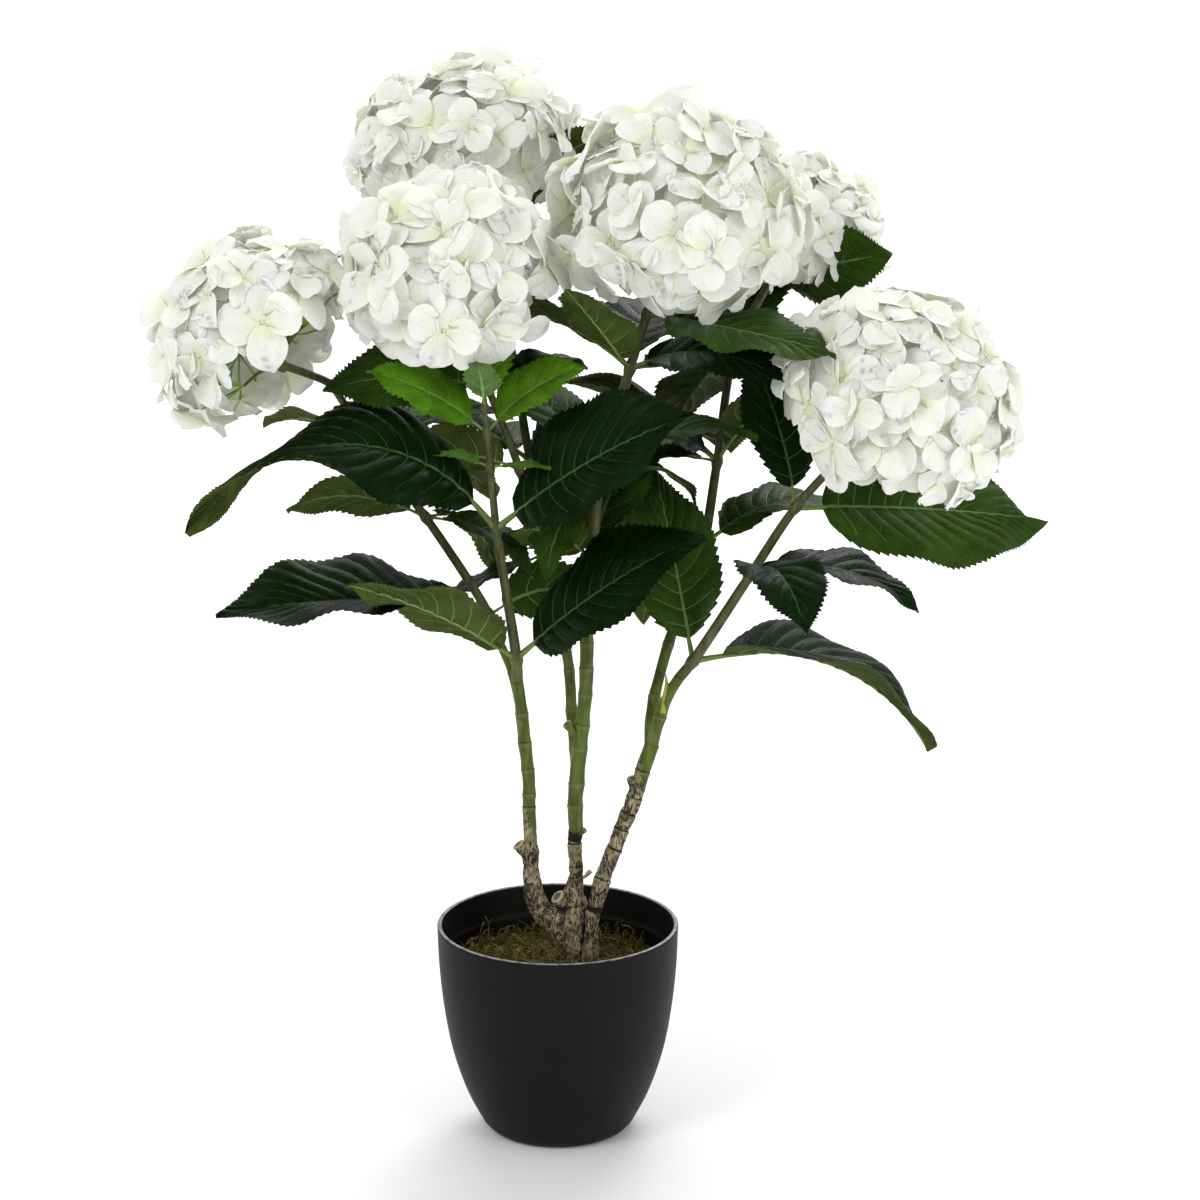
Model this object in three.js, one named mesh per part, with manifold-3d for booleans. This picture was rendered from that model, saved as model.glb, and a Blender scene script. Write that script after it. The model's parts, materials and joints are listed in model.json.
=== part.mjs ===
// Potted artificial hydrangea with six white mophead blooms, in millimetres, +Z up, front towards -Y.
// The origin is the centre of the pot's flat underside. A knuckled trunk stands on the moss and carries
// three jointed canes. They fork into seven shoots: six end in a bloom, and one in a rosette of young leaves.
import * as THREE from "three";
import { mergeVertices } from "three/addons/utils/BufferGeometryUtils.js";
import Module from "manifold-3d";

const wasm = await Module();
wasm.setup();

// Driving sizes
const POT_HEIGHT = 142;
const POT_RADIUS = 80;
const POT_FOOT_RADIUS = 42;
const POT_WALL = 3;
const POT_SEGMENTS = 28;
const MOSS_LEVEL = 113; // height of the moss where the trunk stands on it
const MOSS_CROWN = 4; // how far the moss mounds up above its edge
const GAP = 0.3; // clearance between a piece and what carries it
const CANE_SIDES = 8;
const STEM_SIDES = 6;
const TWIG_SIDES = 3;
const JOINT_RISE = 0.6; // how far a cane's joint stands out
const JOINT_HALF = 1.2; // half the length of a joint's collar
const PETIOLE_RADIUS = 1.5;
const LEAF_WIDTH = 0.54; // of its length
const LEAF_THICKNESS = 1.3;
const BLADE_STATIONS = [0.2, 0.48, 0.78];
const BLADE_FOLD = 14; // degrees that each half of a blade rises from its middle line
const PETALS = 4;
const PETAL_OUTLINE = [[45, 0.5], [62, 0.92], [90, 1], [118, 0.92]]; // degrees, reach: a notch and a petal
const FLORET_SPACE = 2400; // mm2 of a bloom's surface that each floret covers
const FLORET_RADIUS = 31;
const FLORET_RISE = 4; // height of a floret's middle over its petal tips
const INNER_SHELL = 0.9; // every other floret sits this much nearer a bloom's centre
const HUB_DROP = 0.42; // where pedicels meet, as a share of the bloom's height radius below its centre
const HUB_RADIUS = 6;
const PEDICEL_RADIUS = 1.1;
const STALK_STRAIGHT = 6; // a bloom's stalk runs on straight this far before it bends to the hub
const GOLDEN_ANGLE = Math.PI * (3 - Math.sqrt(5));
const SEED = 9;

const FINISHES = {
  pot: { color: 0x1d1d1e, roughness: 0.55, metalness: 0 },
  moss: { color: 0x4a4a1c, roughness: 1, metalness: 0 },
  bark: { color: 0xa39a77, roughness: 0.85, metalness: 0 },
  cane: { color: 0x5d7a35, roughness: 0.5, metalness: 0 },
  leaf: { color: 0x2f4d22, roughness: 0.45, metalness: 0 },
  bloom: { color: 0xf3f2e8, roughness: 0.8, metalness: 0 },
};

const radians = THREE.MathUtils.degToRad;
const lerp = THREE.MathUtils.lerp;
const vec = (p) => new THREE.Vector3(...p);

// A point at an azimuth from +X, a distance out and a height.
function aimed(azimuth, out, up) {
  return new THREE.Vector3(out * Math.cos(radians(azimuth)), out * Math.sin(radians(azimuth)), up);
}

// A seeded source of numbers from 0 to 1 that gives the same run on every machine.
function seeded(seed) {
  let state = seed >>> 0;
  return () => {
    state = (state + 0x6d2b79f5) >>> 0;
    let mixed = Math.imul(state ^ (state >>> 15), state | 1);
    mixed ^= mixed + Math.imul(mixed ^ (mixed >>> 7), mixed | 61);
    return ((mixed ^ (mixed >>> 14)) >>> 0) / 4294967296;
  };
}

// ---- from three.js geometry to solids and back ----

function solidOf(geometry) {
  const bare = geometry.clone();
  bare.deleteAttribute("normal");
  bare.deleteAttribute("uv");
  const merged = mergeVertices(bare, 1e-3);
  return new wasm.Manifold(
    new wasm.Mesh({
      numProp: 3,
      vertProperties: merged.attributes.position.array,
      triVerts: new Uint32Array(merged.index.array),
    }),
  );
}

function geometryOf(solid) {
  const mesh = solid.getMesh();
  const places = new Float32Array(mesh.numVert * 3);
  for (let i = 0; i < mesh.numVert; i++) {
    places.set(mesh.vertProperties.subarray(i * mesh.numProp, i * mesh.numProp + 3), i * 3);
  }
  const geometry = new THREE.BufferGeometry();
  geometry.setAttribute("position", new THREE.BufferAttribute(places, 3));
  geometry.setIndex(new THREE.BufferAttribute(new Uint32Array(mesh.triVerts), 1));
  geometry.computeVertexNormals();
  return geometry;
}

const join = (solids) => solids.reduce((joined, piece) => joined.add(piece));

// The largest body of a solid: loose scraps are dropped, and a hollow sealed inside is filled.
const whole = (solid) => solid.decompose().sort((a, b) => b.volume() - a.volume())[0];

// A closed geometry from points and faces.
function shell(points, faces) {
  const geometry = new THREE.BufferGeometry();
  geometry.setAttribute("position", new THREE.Float32BufferAttribute(points.flatMap((p) => p.toArray()), 3));
  geometry.setIndex(faces.flat());
  return geometry;
}

// A tube through the centres, with a radius at each, closed by flat ends.
function tube(centres, radii, sides) {
  const last = centres.length - 1;
  const along = centres.map((_, i) =>
    centres[Math.min(i + 1, last)].clone().sub(centres[Math.max(i - 1, 0)]).normalize(),
  );
  const across = new THREE.Vector3(0.1, 1, 0.1).cross(along[0]);
  const points = [];
  centres.forEach((centre, i) => {
    across.addScaledVector(along[i], -across.dot(along[i])).normalize();
    const other = along[i].clone().cross(across);
    for (let k = 0; k < sides; k++) {
      const angle = (2 * Math.PI * k) / sides;
      points.push(
        centre
          .clone()
          .addScaledVector(across, radii[i] * Math.cos(angle))
          .addScaledVector(other, radii[i] * Math.sin(angle)),
      );
    }
  });
  const faces = [];
  const lastRing = last * sides;
  for (let k = 0; k < sides; k++) {
    const next = (k + 1) % sides;
    for (let ring = 0; ring < lastRing; ring += sides) {
      faces.push([ring + k, ring + next, ring + sides + next]);
      faces.push([ring + k, ring + sides + next, ring + sides + k]);
    }
    if (k > 0 && k < sides - 1) {
      faces.push([0, next, k]);
      faces.push([lastRing, lastRing + k, lastRing + next]);
    }
  }
  return solidOf(shell(points, faces));
}

// A limb along a smooth curve. `radii` are its radius at the foot and the tip, `joints` the number of raised
// collars where one length of cane ends and the next begins, and `grow` makes it that much larger all round.
function limb(path, radii, { joints = 0, sides = CANE_SIDES, steps = 5, grow = 0 } = {}) {
  const curve = new THREE.CatmullRomCurve3(path.map(vec), false, "centripetal");
  const long = curve.getLength();
  const stations = [];
  for (let i = 0; i <= steps; i++) stations.push([i / steps, 0]);
  for (let j = 1; j <= joints; j++) {
    const middle = j / (joints + 1);
    stations.push([middle - JOINT_HALF / long, JOINT_RISE], [middle + JOINT_HALF / long, 0]);
  }
  stations.sort((a, b) => a[0] - b[0]);
  const centres = stations.map(([u]) => curve.getPointAt(u));
  centres[0].addScaledVector(curve.getTangentAt(0), -grow);
  centres.at(-1).addScaledVector(curve.getTangentAt(1), grow);
  return tube(centres, stations.map(([u, rise]) => lerp(radii[0], radii[1], u) + rise + grow), sides);
}

// ---- pot and moss ----

// Heights and outer radii of the pot: a full bowl that narrows in a curve towards its foot.
const POT_PROFILE = [
  [0, POT_FOOT_RADIUS],
  [1.5, POT_FOOT_RADIUS + 4.5],
  [6, POT_FOOT_RADIUS + 9],
  [26, 61],
  [55, 70.5],
  [85, 76],
  [115, 79],
  [POT_HEIGHT, POT_RADIUS],
];

function potRadius(height) {
  const i = Math.max(1, POT_PROFILE.findIndex(([z]) => z >= height));
  const [[z0, r0], [z1, r1]] = [POT_PROFILE[i - 1], POT_PROFILE[i]];
  return lerp(r0, r1, (height - z0) / (z1 - z0));
}

function turned(profile) {
  const lathe = new THREE.LatheGeometry(profile.map(([z, r]) => new THREE.Vector2(r, z)), POT_SEGMENTS);
  return solidOf(lathe.rotateX(Math.PI / 2));
}

function pot() {
  const inside = POT_PROFILE.slice(2).map(([z, r]) => [z, r - POT_WALL]);
  inside[0] = [POT_WALL, inside[0][1] - POT_WALL];
  return turned([[0, 0], ...POT_PROFILE, ...inside.reverse(), [POT_WALL, 0]]);
}

function mossPlug() {
  const edge = MOSS_LEVEL - MOSS_CROWN;
  const fit = (z) => potRadius(z) - POT_WALL - GAP;
  const foot = POT_WALL + GAP;
  const heights = POT_PROFILE.map(([z]) => z).filter((z) => z > POT_PROFILE[2][0] && z < edge);
  return turned([
    [foot, 0],
    [foot, fit(POT_PROFILE[2][0]) - POT_WALL],
    ...heights.map((z) => [z, fit(z)]),
    [edge, fit(edge)],
    [MOSS_LEVEL, POT_RADIUS / 2],
    [MOSS_LEVEL, 0],
  ]);
}

// ---- trunk and canes ----

// Each cane is one tapering limb. `from` names the limb that it grows out of, `beside` one that it passes.
const CANES = {
  left_cane: {
    path: [[-17.5, -8, 198], [-19, -10, 244], [-22, -12, 276], [-25.5, -15, 313]],
    radii: [5.6, 4.2],
    joints: 4,
  },
  left_rear_cane: {
    path: [[-24, -13, 296], [-30, -6, 318], [-38.5, -0.5, 338]],
    radii: [3.4, 3.2],
    from: "left_cane",
  },
  middle_cane: {
    path: [[12, 2, 178], [12, 1, 205], [13, 0, 240], [16, -2, 275], [19, -3, 315], [19.5, -5, 372]],
    radii: [6.4, 4.2],
    joints: 6,
  },
  middle_rear_cane: {
    path: [[13, 5, 240], [10, 13, 280], [6, 22, 320], [-4, 31, 372]],
    radii: [4.2, 3.4],
    joints: 3,
    from: "middle_cane",
  },
  right_cane: {
    path: [[26.5, -10, 166], [36, -10, 194], [50, -10, 229], [62, -10, 269]],
    radii: [6, 5.2],
    joints: 6,
  },
  right_front_cane: {
    path: [[62, -10, 269], [66, -11.5, 286], [72, -14.5, 303], [80, -17.5, 317]],
    radii: [4.6, 3.8],
    from: "right_cane",
  },
  right_rear_cane: {
    path: [[60.5, -8, 262], [61, -2, 283], [68, 14, 315], [81, 27, 352], [92, 36, 380]],
    radii: [4.2, 3.4],
    joints: 1,
    from: "right_cane",
    beside: "right_front_cane",
  },
};

const cane = (name, grow = 0) => limb(CANES[name].path, CANES[name].radii, { ...CANES[name], grow });

// A cane with its foot coped to the limb that it grows out of, and cut clear of the one beside it.
function copedCane(name) {
  const others = [CANES[name].from, CANES[name].beside].filter(Boolean);
  return others.reduce((left, other) => whole(left.subtract(cane(other, GAP))), cane(name));
}

// A sawn-off side shoot: a short peg that flares to its cut face.
function sawnStub(foot, cut, radius) {
  const neck = vec(foot).lerp(vec(cut), 0.8);
  return tube([vec(foot), neck, vec(cut)], [0.8 * radius, radius, 0.9 * radius], STEM_SIDES);
}

// The knuckled trunk: a short body that flares to the moss, and an arm to the foot of each cane.
function trunk() {
  const foot = MOSS_LEVEL + GAP;
  const body = join([
    limb([[13, 0, 101], [13, 0, 114], [11, 0, 137], [10, 1, 154], [12, 2, 178]], [14, 7], { steps: 7 }),
    limb([[9, 0, 124], [-5, -5, 145], [-14, -8, 160], [-17, -8, 180], [-17.5, -8, 198]], [9.5, 6]),
    limb([[13, -3, 109], [19, -7, 128], [24, -10, 150], [26.5, -10, 166]], [8, 6.3], { joints: 1, steps: 3 }),
    sawnStub([6, -2, 152], [-1, -11, 166], 6.5),
    sawnStub([-15, -8, 188], [-28, -9, 202], 4.5),
    tube([vec([14, -1, 168]), vec([21, -3, 178]), vec([23, -3.5, 180])], [1.6, 1.3, 2.4], STEM_SIDES),
  ]);
  const ground = solidOf(new THREE.BoxGeometry(100, 100, 40).translate(0, 0, foot - 20));
  const canes = ["left_cane", "middle_cane", "right_cane"].map((name) => cane(name, GAP));
  return whole([ground, ...canes].reduce((left, other) => left.subtract(other), body));
}

// ---- leaves ----

// The middle line of a leaf blade at a share b of its length: it leaves `lift` degrees above level and bends
// down by `droop` degrees in a circular arc. The blade is turned about it by `roll`, plus `twist` by its tip,
// most of that near the tip.
function bladeFrame(leaf, start, b) {
  const [lift, droop] = [radians(leaf.lift), radians(leaf.droop)];
  const rise = lift - droop * b;
  const turn = radians(leaf.roll + leaf.twist * b * b);
  const ahead = (leaf.long * (Math.sin(lift) - Math.sin(rise))) / droop;
  const above = (leaf.long * (Math.cos(rise) - Math.cos(lift))) / droop;
  const point = start.clone().add(aimed(leaf.azimuth, ahead, above));
  const level = aimed(leaf.azimuth + 90, 1, 0);
  const upright = aimed(leaf.azimuth, -Math.sin(rise), Math.cos(rise));
  const side = level.clone().multiplyScalar(Math.cos(turn)).addScaledVector(upright, Math.sin(turn));
  const normal = upright.clone().multiplyScalar(Math.cos(turn)).addScaledVector(level, -Math.sin(turn));
  return { point, side, normal };
}

// Half width of a blade at a share b of its length, as a share of its greatest half width.
const bladeHalf = (b) => 2.67 * Math.pow(b, 0.6) * Math.pow(1 - b, 0.85);

// A pointed blade in flat facets, thickest along its middle and folded there, on a three-sided stalk.
function leaf(shape, root, grow = 0) {
  const [level, up] = [Math.cos(radians(shape.lift)), Math.sin(radians(shape.lift))];
  const start = root.clone().add(aimed(shape.azimuth, shape.petiole * level, shape.petiole * up));
  const frame = (b) => bladeFrame(shape, start, b);
  const thick = Math.max(LEAF_THICKNESS, shape.long / 80) / 2 + grow;
  const points = [frame(0).point, frame(1).point];
  for (const b of BLADE_STATIONS) {
    const { point, side, normal } = frame(b);
    const half = (bladeHalf(b) * shape.long * LEAF_WIDTH) / 2 + grow;
    const [out, above] = [half * Math.cos(radians(BLADE_FOLD)), half * Math.sin(radians(BLADE_FOLD))];
    points.push(point.clone().addScaledVector(normal, thick), point.clone().addScaledVector(normal, -thick));
    points.push(point.clone().addScaledVector(side, out).addScaledVector(normal, above));
    points.push(point.clone().addScaledVector(side, -out).addScaledVector(normal, above));
  }
  const faces = [];
  const add = (flip, ...corners) => faces.push(flip ? corners.toReversed() : corners);
  const at = (station, k) => 2 + 4 * station + k;
  const last = BLADE_STATIONS.length - 1;
  for (const [middle, edge] of [[0, 2], [0, 3], [1, 2], [1, 3]]) {
    const flip = (middle === 0) === (edge === 3);
    add(flip, 0, at(0, middle), at(0, edge));
    for (let i = 0; i < last; i++) {
      add(flip, at(i, middle), at(i + 1, edge), at(i, edge));
      add(flip, at(i, middle), at(i + 1, middle), at(i + 1, edge));
    }
    add(flip, at(last, middle), 1, at(last, edge));
  }
  const radii = [1.1, 0.8, 0.4].map((share) => PETIOLE_RADIUS * share + grow);
  return solidOf(shell(points, faces)).add(tube([root, start, frame(0.16).point], radii, TWIG_SIDES));
}

// ---- foliage masses ----

// A shoot's leaves stand in pairs or alone at the inner points of its path, counted from 1. `turn` is the
// first leaf's azimuth and `spread` the angle on to the second's. A pair's other values come in twos, the
// first leaf's and the second's. Where a shoot forks off beside another, `beside` names that one.
const pair = (at, turn, long, lift, droop, roll = [0, 0], twist = [0, 0], spread = 180) => ({
  at,
  leaves: [0, 1].map((k) => ({
    azimuth: turn + k * spread,
    long: long[k],
    lift: lift[k],
    droop: droop[k],
    roll: roll[k],
    twist: twist[k],
    petiole: 5 + long[k] / 12,
  })),
});

const lone = (at, turn, long, lift, droop, roll = 0) => {
  const both = pair(at, turn, [long, long], [lift, lift], [droop, droop], [roll, roll]);
  return { at, leaves: both.leaves.slice(0, 1) };
};

const SHOOTS = {
  left_front_shoot: {
    path: [
      [-25.5, -15, 313], [-26, -18, 329], [-38, -32, 419], [-41, -43, 462], [-43, -51, 486],
      [-44, -57, 503], [-44, -58, 509],
    ],
    radii: [3.8, 1.6],
    pairs: [
      pair(1, 212, [125, 142], [36, 44], [16, 20], [25, 42], [0, 0], 125),
      pair(2, 196, [215, 153], [51, 40], [106, 14], [-45, 52], [130, 0], 134),
      pair(3, 170, [32, 32], [20, 10], [30, 20]),
      pair(4, 180, [74, 66], [40, 48], [30, 40], [-30, 30], [0, 0], 190),
      pair(5, 85, [56, 38], [62, 60], [12, 20]),
    ],
  },
  left_rear_shoot: {
    path: [[-38.6, -0.4, 338.5], [-44, 5, 352], [-85, 15, 415], [-117, 8, 461], [-140, -1, 501]],
    radii: [3.2, 2.6],
    pairs: [
      pair(1, 188, [160, 70], [13, 30], [28, 60], [13, 65], [0, 0], 190),
      pair(2, 195, [85, 75], [30, 0], [50, 60], [45, 0], [0, 0], 150),
      pair(3, 150, [80, 85], [30, 30], [60, 40], [20, 0], [0, 0], 225),
      lone(2, 48, 80, 0, 90),
      lone(3, 48, 115, -10, 30),
    ],
    bloom: { centre: [-190, -20, 547], axis: [-0.72, 0.42, 0.5], across: 62, along: 54, cover: 98 },
  },
  left_middle_shoot: {
    path: [[-6, 30, 368], [-24, 10, 448], [-43, -8, 505], [-52, -20, 535]],
    radii: [3, 2.4],
    beside: "rear_shoot",
    pairs: [
      pair(1, 190, [82, 80], [25, 35], [60, 50], [60, 20], [0, 0], 200),
      pair(2, 190, [95, 70], [15, 28], [30, 56], [-40, 0], [0, 0], 203),
    ],
    bloom: { centre: [-67, -30, 587], axis: [-0.05, -0.5, 0.86], across: 62, along: 55, cover: 118 },
  },
  rear_shoot: {
    path: [
      [-4.3, 31.3, 373], [-7, 34, 386], [-18, 50, 445], [-31, 68, 522], [-44, 80, 592], [-51, 85, 614],
    ],
    radii: [3.2, 2.4],
    pairs: [
      pair(1, 250, [60, 80], [75, 40], [10, 50]),
      pair(2, 170, [115, 95], [35, 20], [60, 50], [0, 0], [0, 0], 225),
      pair(3, 90, [120, 100], [35, 35], [60, 60], [0, 0], [0, 0], 220),
      pair(4, 175, [100, 60], [5, 65], [40, 4], [0, 0], [0, 0], 157),
      lone(1, 180, 70, -20, 10),
      lone(2, 132, 115, 20, 90),
    ],
    bloom: { centre: [-61, 90, 648], axis: [-0.15, -0.1, 1], across: 68, along: 52, cover: 118 },
  },
  middle_shoot: {
    path: [[19.6, -5, 373], [22, -6, 392], [28, -10, 446], [47, -17, 520], [58, -20, 556], [66, -20, 578]],
    radii: [4, 2.8],
    pairs: [
      pair(1, 60, [110, 66], [60, 45], [40, 50], [0, 50], [0, 0], 160),
      pair(2, 150, [110, 105], [55, 45], [40, 60], [0, 0], [0, 0], 190),
      pair(3, 237, [86, 105], [42, 25], [5, 60], [0, 20], [0, 0], 93),
      pair(3, 75, [115, 110], [30, 40], [50, 60], [0, 25], [0, 0], 95),
      pair(4, 325, [126, 125], [-2, 40], [4, 30], [8, -25], [0, 0], 130),
      lone(2, 228, 70, -20, 70),
      lone(2, 84, 80, -20, 50, 30),
      lone(2, 24, 70, 20, 90),
      lone(3, 36, 100, 0, 30),
    ],
    bloom: { centre: [81, -15, 618], axis: [0.1, -0.4, 0.92], across: 73, along: 60, cover: 118 },
  },
  right_rear_shoot: {
    path: [
      [92.2, 36.2, 380.5], [96, 38, 391], [105, 55, 443], [117, 75, 514], [139, 89, 555],
      [142, 91, 560],
    ],
    radii: [3.3, 2.5],
    pairs: [
      pair(1, 30, [115, 110], [30, 45], [60, 60], [0, 0], [0, 0], 130),
      pair(2, 340, [100, 65], [60, 15], [40, 60], [-20, 0], [0, 0], 205),
      pair(2, 150, [120, 85], [40, 40], [50, 60], [25, -25], [0, 0], 60),
      pair(3, 80, [115, 94], [40, 40], [60, 50], [0, -25]),
      pair(4, 320, [90, 95], [22, 0], [10, 50], [91, 0], [0, 0], 144),
      lone(1, 120, 100, -20, 50),
      lone(2, 84, 105, 30, 90),
      lone(3, 120, 100, -30, 30),
    ],
    bloom: { centre: [157, 100, 587], axis: [0.35, 0.1, 0.92], across: 54, along: 46, cover: 112 },
  },
  right_front_shoot: {
    path: [
      [80.2, -17.6, 317.3], [88, -20, 328], [124, -30, 388], [152, -40, 435], [179, -45, 467],
      [189, -47, 477],
    ],
    radii: [3.6, 2.6],
    pairs: [
      pair(1, 5, [166, 118], [10, 68], [74, 15], [-3, 0], [0, 0], 113),
      pair(2, 352, [103, 96], [16, 28], [62, 84], [4, 0], [0, 0], 297),
      pair(3, 24, [167, 95], [-5, 70], [5, 25], [41, 0], [0, 0], 96),
    ],
    bloom: { centre: [214, -50, 505], axis: [0.45, -0.3, 0.84], across: 70, along: 64, cover: 116 },
  },
};

function stem(name, grow = 0) {
  const { path, radii } = SHOOTS[name];
  return limb(path, radii, { sides: STEM_SIDES, steps: 8, grow });
}

// ---- blooms ----

// A floret: four petals round a raised middle, flat beneath.
function floret({ centre, normal, spin, size }, grow = 0) {
  const side = new THREE.Vector3(0.3, 0.5, 1).cross(normal).normalize();
  const other = normal.clone().cross(side);
  const rim = centre.clone().addScaledVector(normal, -FLORET_RISE - grow);
  const points = [centre.clone().addScaledVector(normal, grow)];
  const faces = [];
  const corners = PETAL_OUTLINE.length;
  const count = PETALS * corners;
  for (let i = 0; i < count; i++) {
    const [degrees, reach] = PETAL_OUTLINE[i % corners];
    const angle = radians(degrees + 90 * Math.floor(i / corners)) + spin;
    const out = side.clone().multiplyScalar(Math.cos(angle)).addScaledVector(other, Math.sin(angle));
    points.push(rim.clone().addScaledVector(out, reach * size + grow));
    faces.push([0, 1 + i, 1 + ((i + 1) % count)]);
  }
  // The underside: each petal, then the square between the notches.
  const notch = (i) => 1 + (i % PETALS) * corners;
  for (let i = 0; i < PETALS; i++) {
    const first = notch(i);
    faces.push([first, first + 2, first + 1], [first, first + 3, first + 2]);
    faces.push([first, notch(i + 1), first + 3]);
  }
  faces.push([notch(0), notch(2), notch(1)], [notch(0), notch(3), notch(2)]);
  return solidOf(shell(points, faces));
}

// Places for a bloom's florets, spread by the golden angle on two shells, so that they overlap like tiles.
function floretPlaces(bloom, random) {
  const axis = vec(bloom.axis).normalize();
  const side = new THREE.Vector3(0, 1, 0).cross(axis).normalize();
  const other = axis.clone().cross(side);
  const lowest = Math.cos(radians(bloom.cover));
  const surface = 2 * Math.PI * bloom.across * bloom.along * (1 - lowest);
  const count = Math.round(surface / FLORET_SPACE);
  return Array.from({ length: count }, (_, i) => {
    const high = 1 - ((i + 0.5) / count) * (1 - lowest);
    const flat = Math.sqrt(1 - high * high);
    const angle = i * GOLDEN_ANGLE + 0.3 * random();
    const nearer = i % 2 ? INNER_SHELL : 1;
    const out = side.clone().multiplyScalar(Math.cos(angle)).addScaledVector(other, Math.sin(angle));
    const centre = vec(bloom.centre)
      .addScaledVector(out, flat * bloom.across * nearer)
      .addScaledVector(axis, high * bloom.along * nearer);
    const normal = out
      .multiplyScalar(flat / bloom.across)
      .addScaledVector(axis, high / bloom.along)
      .normalize();
    return { centre, normal, spin: 2 * Math.PI * random(), size: FLORET_RADIUS * (0.88 + 0.24 * random()) };
  });
}

// ---- putting it together ----

// What each node takes up, a little larger than life. A leaf or floret that would touch another is left out.
const rooms = [];
const apart = (a, b) => [0, 1, 2].some((i) => a.max[i] < b.min[i] || b.max[i] < a.min[i]);

function takeRoom(name, solids) {
  rooms.push(...solids.map((solid) => ({ name, solid, box: solid.boundingBox() })));
}

function isFree(solid, owner) {
  const box = solid.boundingBox();
  return rooms.every(
    (room) => room.name === owner || apart(box, room.box) || solid.intersect(room.solid).isEmpty(),
  );
}

function bloomSolid(name, shootName, random) {
  const { bloom, path, radii } = SHOOTS[shootName];
  const tip = vec(path.at(-1));
  const ahead = tip.clone().sub(vec(path.at(-2))).normalize();
  const hub = vec(bloom.centre).addScaledVector(vec(bloom.axis).normalize(), -HUB_DROP * bloom.along);
  const bend = tip.clone().addScaledVector(ahead, STALK_STRAIGHT);
  const stalkPath = [tip, bend, hub].map((point) => point.toArray());
  const stalkRadii = [radii[1], 0.9 * radii[1]];
  const stalk = (grow) => limb(stalkPath, stalkRadii, { sides: STEM_SIDES, steps: 3, grow });
  const ball = (radius) => new THREE.IcosahedronGeometry(radius, 0).translate(...hub.toArray());
  const parts = [stalk(0).subtract(stem(shootName, GAP)), solidOf(ball(HUB_RADIUS))];
  const held = [stalk(GAP), solidOf(ball(HUB_RADIUS + GAP))];
  for (const place of floretPlaces(bloom, random)) {
    const end = place.centre.clone().addScaledVector(place.normal, -FLORET_RISE / 2);
    const pedicel = tube([hub, end], [PEDICEL_RADIUS, PEDICEL_RADIUS], TWIG_SIDES);
    if (!isFree(floret(place), name) || !isFree(pedicel, name)) continue;
    parts.push(pedicel, floret(place));
    held.push(pedicel, floret(place, GAP));
  }
  takeRoom(name, held);
  return whole(join(parts));
}

function foliageSolid(name, shoot) {
  const carriers = rooms.filter((room) => room.name in CANES || room.name === shoot.beside);
  const parts = [whole(carriers.reduce((left, room) => left.subtract(room.solid), stem(name)))];
  const held = [];
  for (const { at, leaves } of shoot.pairs) {
    for (const shape of leaves) {
      const blade = leaf(shape, vec(shoot.path[at]));
      if (!isFree(blade, name)) continue;
      parts.push(blade);
      held.push(leaf(shape, vec(shoot.path[at]), GAP));
    }
  }
  takeRoom(name, held);
  return whole(join(parts));
}

const plant = new THREE.Group();

function place(name, solid, finish) {
  const material = new THREE.MeshStandardMaterial({ name: finish, ...FINISHES[finish] });
  const mesh = new THREE.Mesh(geometryOf(solid), material);
  mesh.name = name;
  plant.add(mesh);
}

place("pot", pot(), "pot");
place("moss_plug", mossPlug(), "moss");
place("trunk", trunk(), "bark");

for (const name of Object.keys(CANES)) {
  place(name, copedCane(name), "cane");
  takeRoom(name, [cane(name, GAP)]);
}

for (const name of Object.keys(SHOOTS)) takeRoom(name, [stem(name, GAP)]);

const random = seeded(SEED);
for (const shootName of Object.keys(SHOOTS).filter((name) => SHOOTS[name].bloom)) {
  const name = shootName.replace("shoot", "bloom");
  place(name, bloomSolid(name, shootName, random), "bloom");
}
for (const [name, shoot] of Object.entries(SHOOTS)) place(name, foliageSolid(name, shoot), "leaf");

export default plant;
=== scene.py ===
"""Potted artificial hydrangea: the plant's looks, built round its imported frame.

The tables hold millimetres and degrees, as the frame's source does. Meshes are in metres.
"""

import json
from math import cos, pi, radians, sin, tau

import bpy
import numpy as np
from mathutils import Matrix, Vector, noise

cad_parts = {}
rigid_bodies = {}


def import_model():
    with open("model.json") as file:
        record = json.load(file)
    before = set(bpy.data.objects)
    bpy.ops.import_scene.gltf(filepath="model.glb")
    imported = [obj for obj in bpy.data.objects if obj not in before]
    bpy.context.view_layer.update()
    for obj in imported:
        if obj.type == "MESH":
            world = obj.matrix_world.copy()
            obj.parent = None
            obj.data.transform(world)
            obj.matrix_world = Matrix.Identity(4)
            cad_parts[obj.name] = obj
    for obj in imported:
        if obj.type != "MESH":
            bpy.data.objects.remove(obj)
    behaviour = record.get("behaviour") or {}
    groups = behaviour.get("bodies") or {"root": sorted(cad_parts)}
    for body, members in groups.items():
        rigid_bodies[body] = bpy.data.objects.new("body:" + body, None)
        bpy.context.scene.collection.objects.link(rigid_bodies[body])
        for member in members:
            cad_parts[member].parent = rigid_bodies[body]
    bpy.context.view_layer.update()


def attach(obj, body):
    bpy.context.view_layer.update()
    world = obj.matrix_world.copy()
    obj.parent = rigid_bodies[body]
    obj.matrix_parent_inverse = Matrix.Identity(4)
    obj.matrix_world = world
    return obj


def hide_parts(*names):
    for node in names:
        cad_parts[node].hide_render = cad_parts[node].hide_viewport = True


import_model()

bl_info = {
    "name": "Potted Hydrangea",
    "version": (1, 0, 0),
    "blender": (4, 5, 0),
    "location": "View3D > Sidebar > Hydrangea",
    "description": "An artificial white hydrangea on a knuckled trunk, in a round black pot with moss",
    "category": "Add Mesh",
}

MM = 0.001
BODY = "root"

# ---- sizes shared with the frame, in millimetres ----

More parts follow.
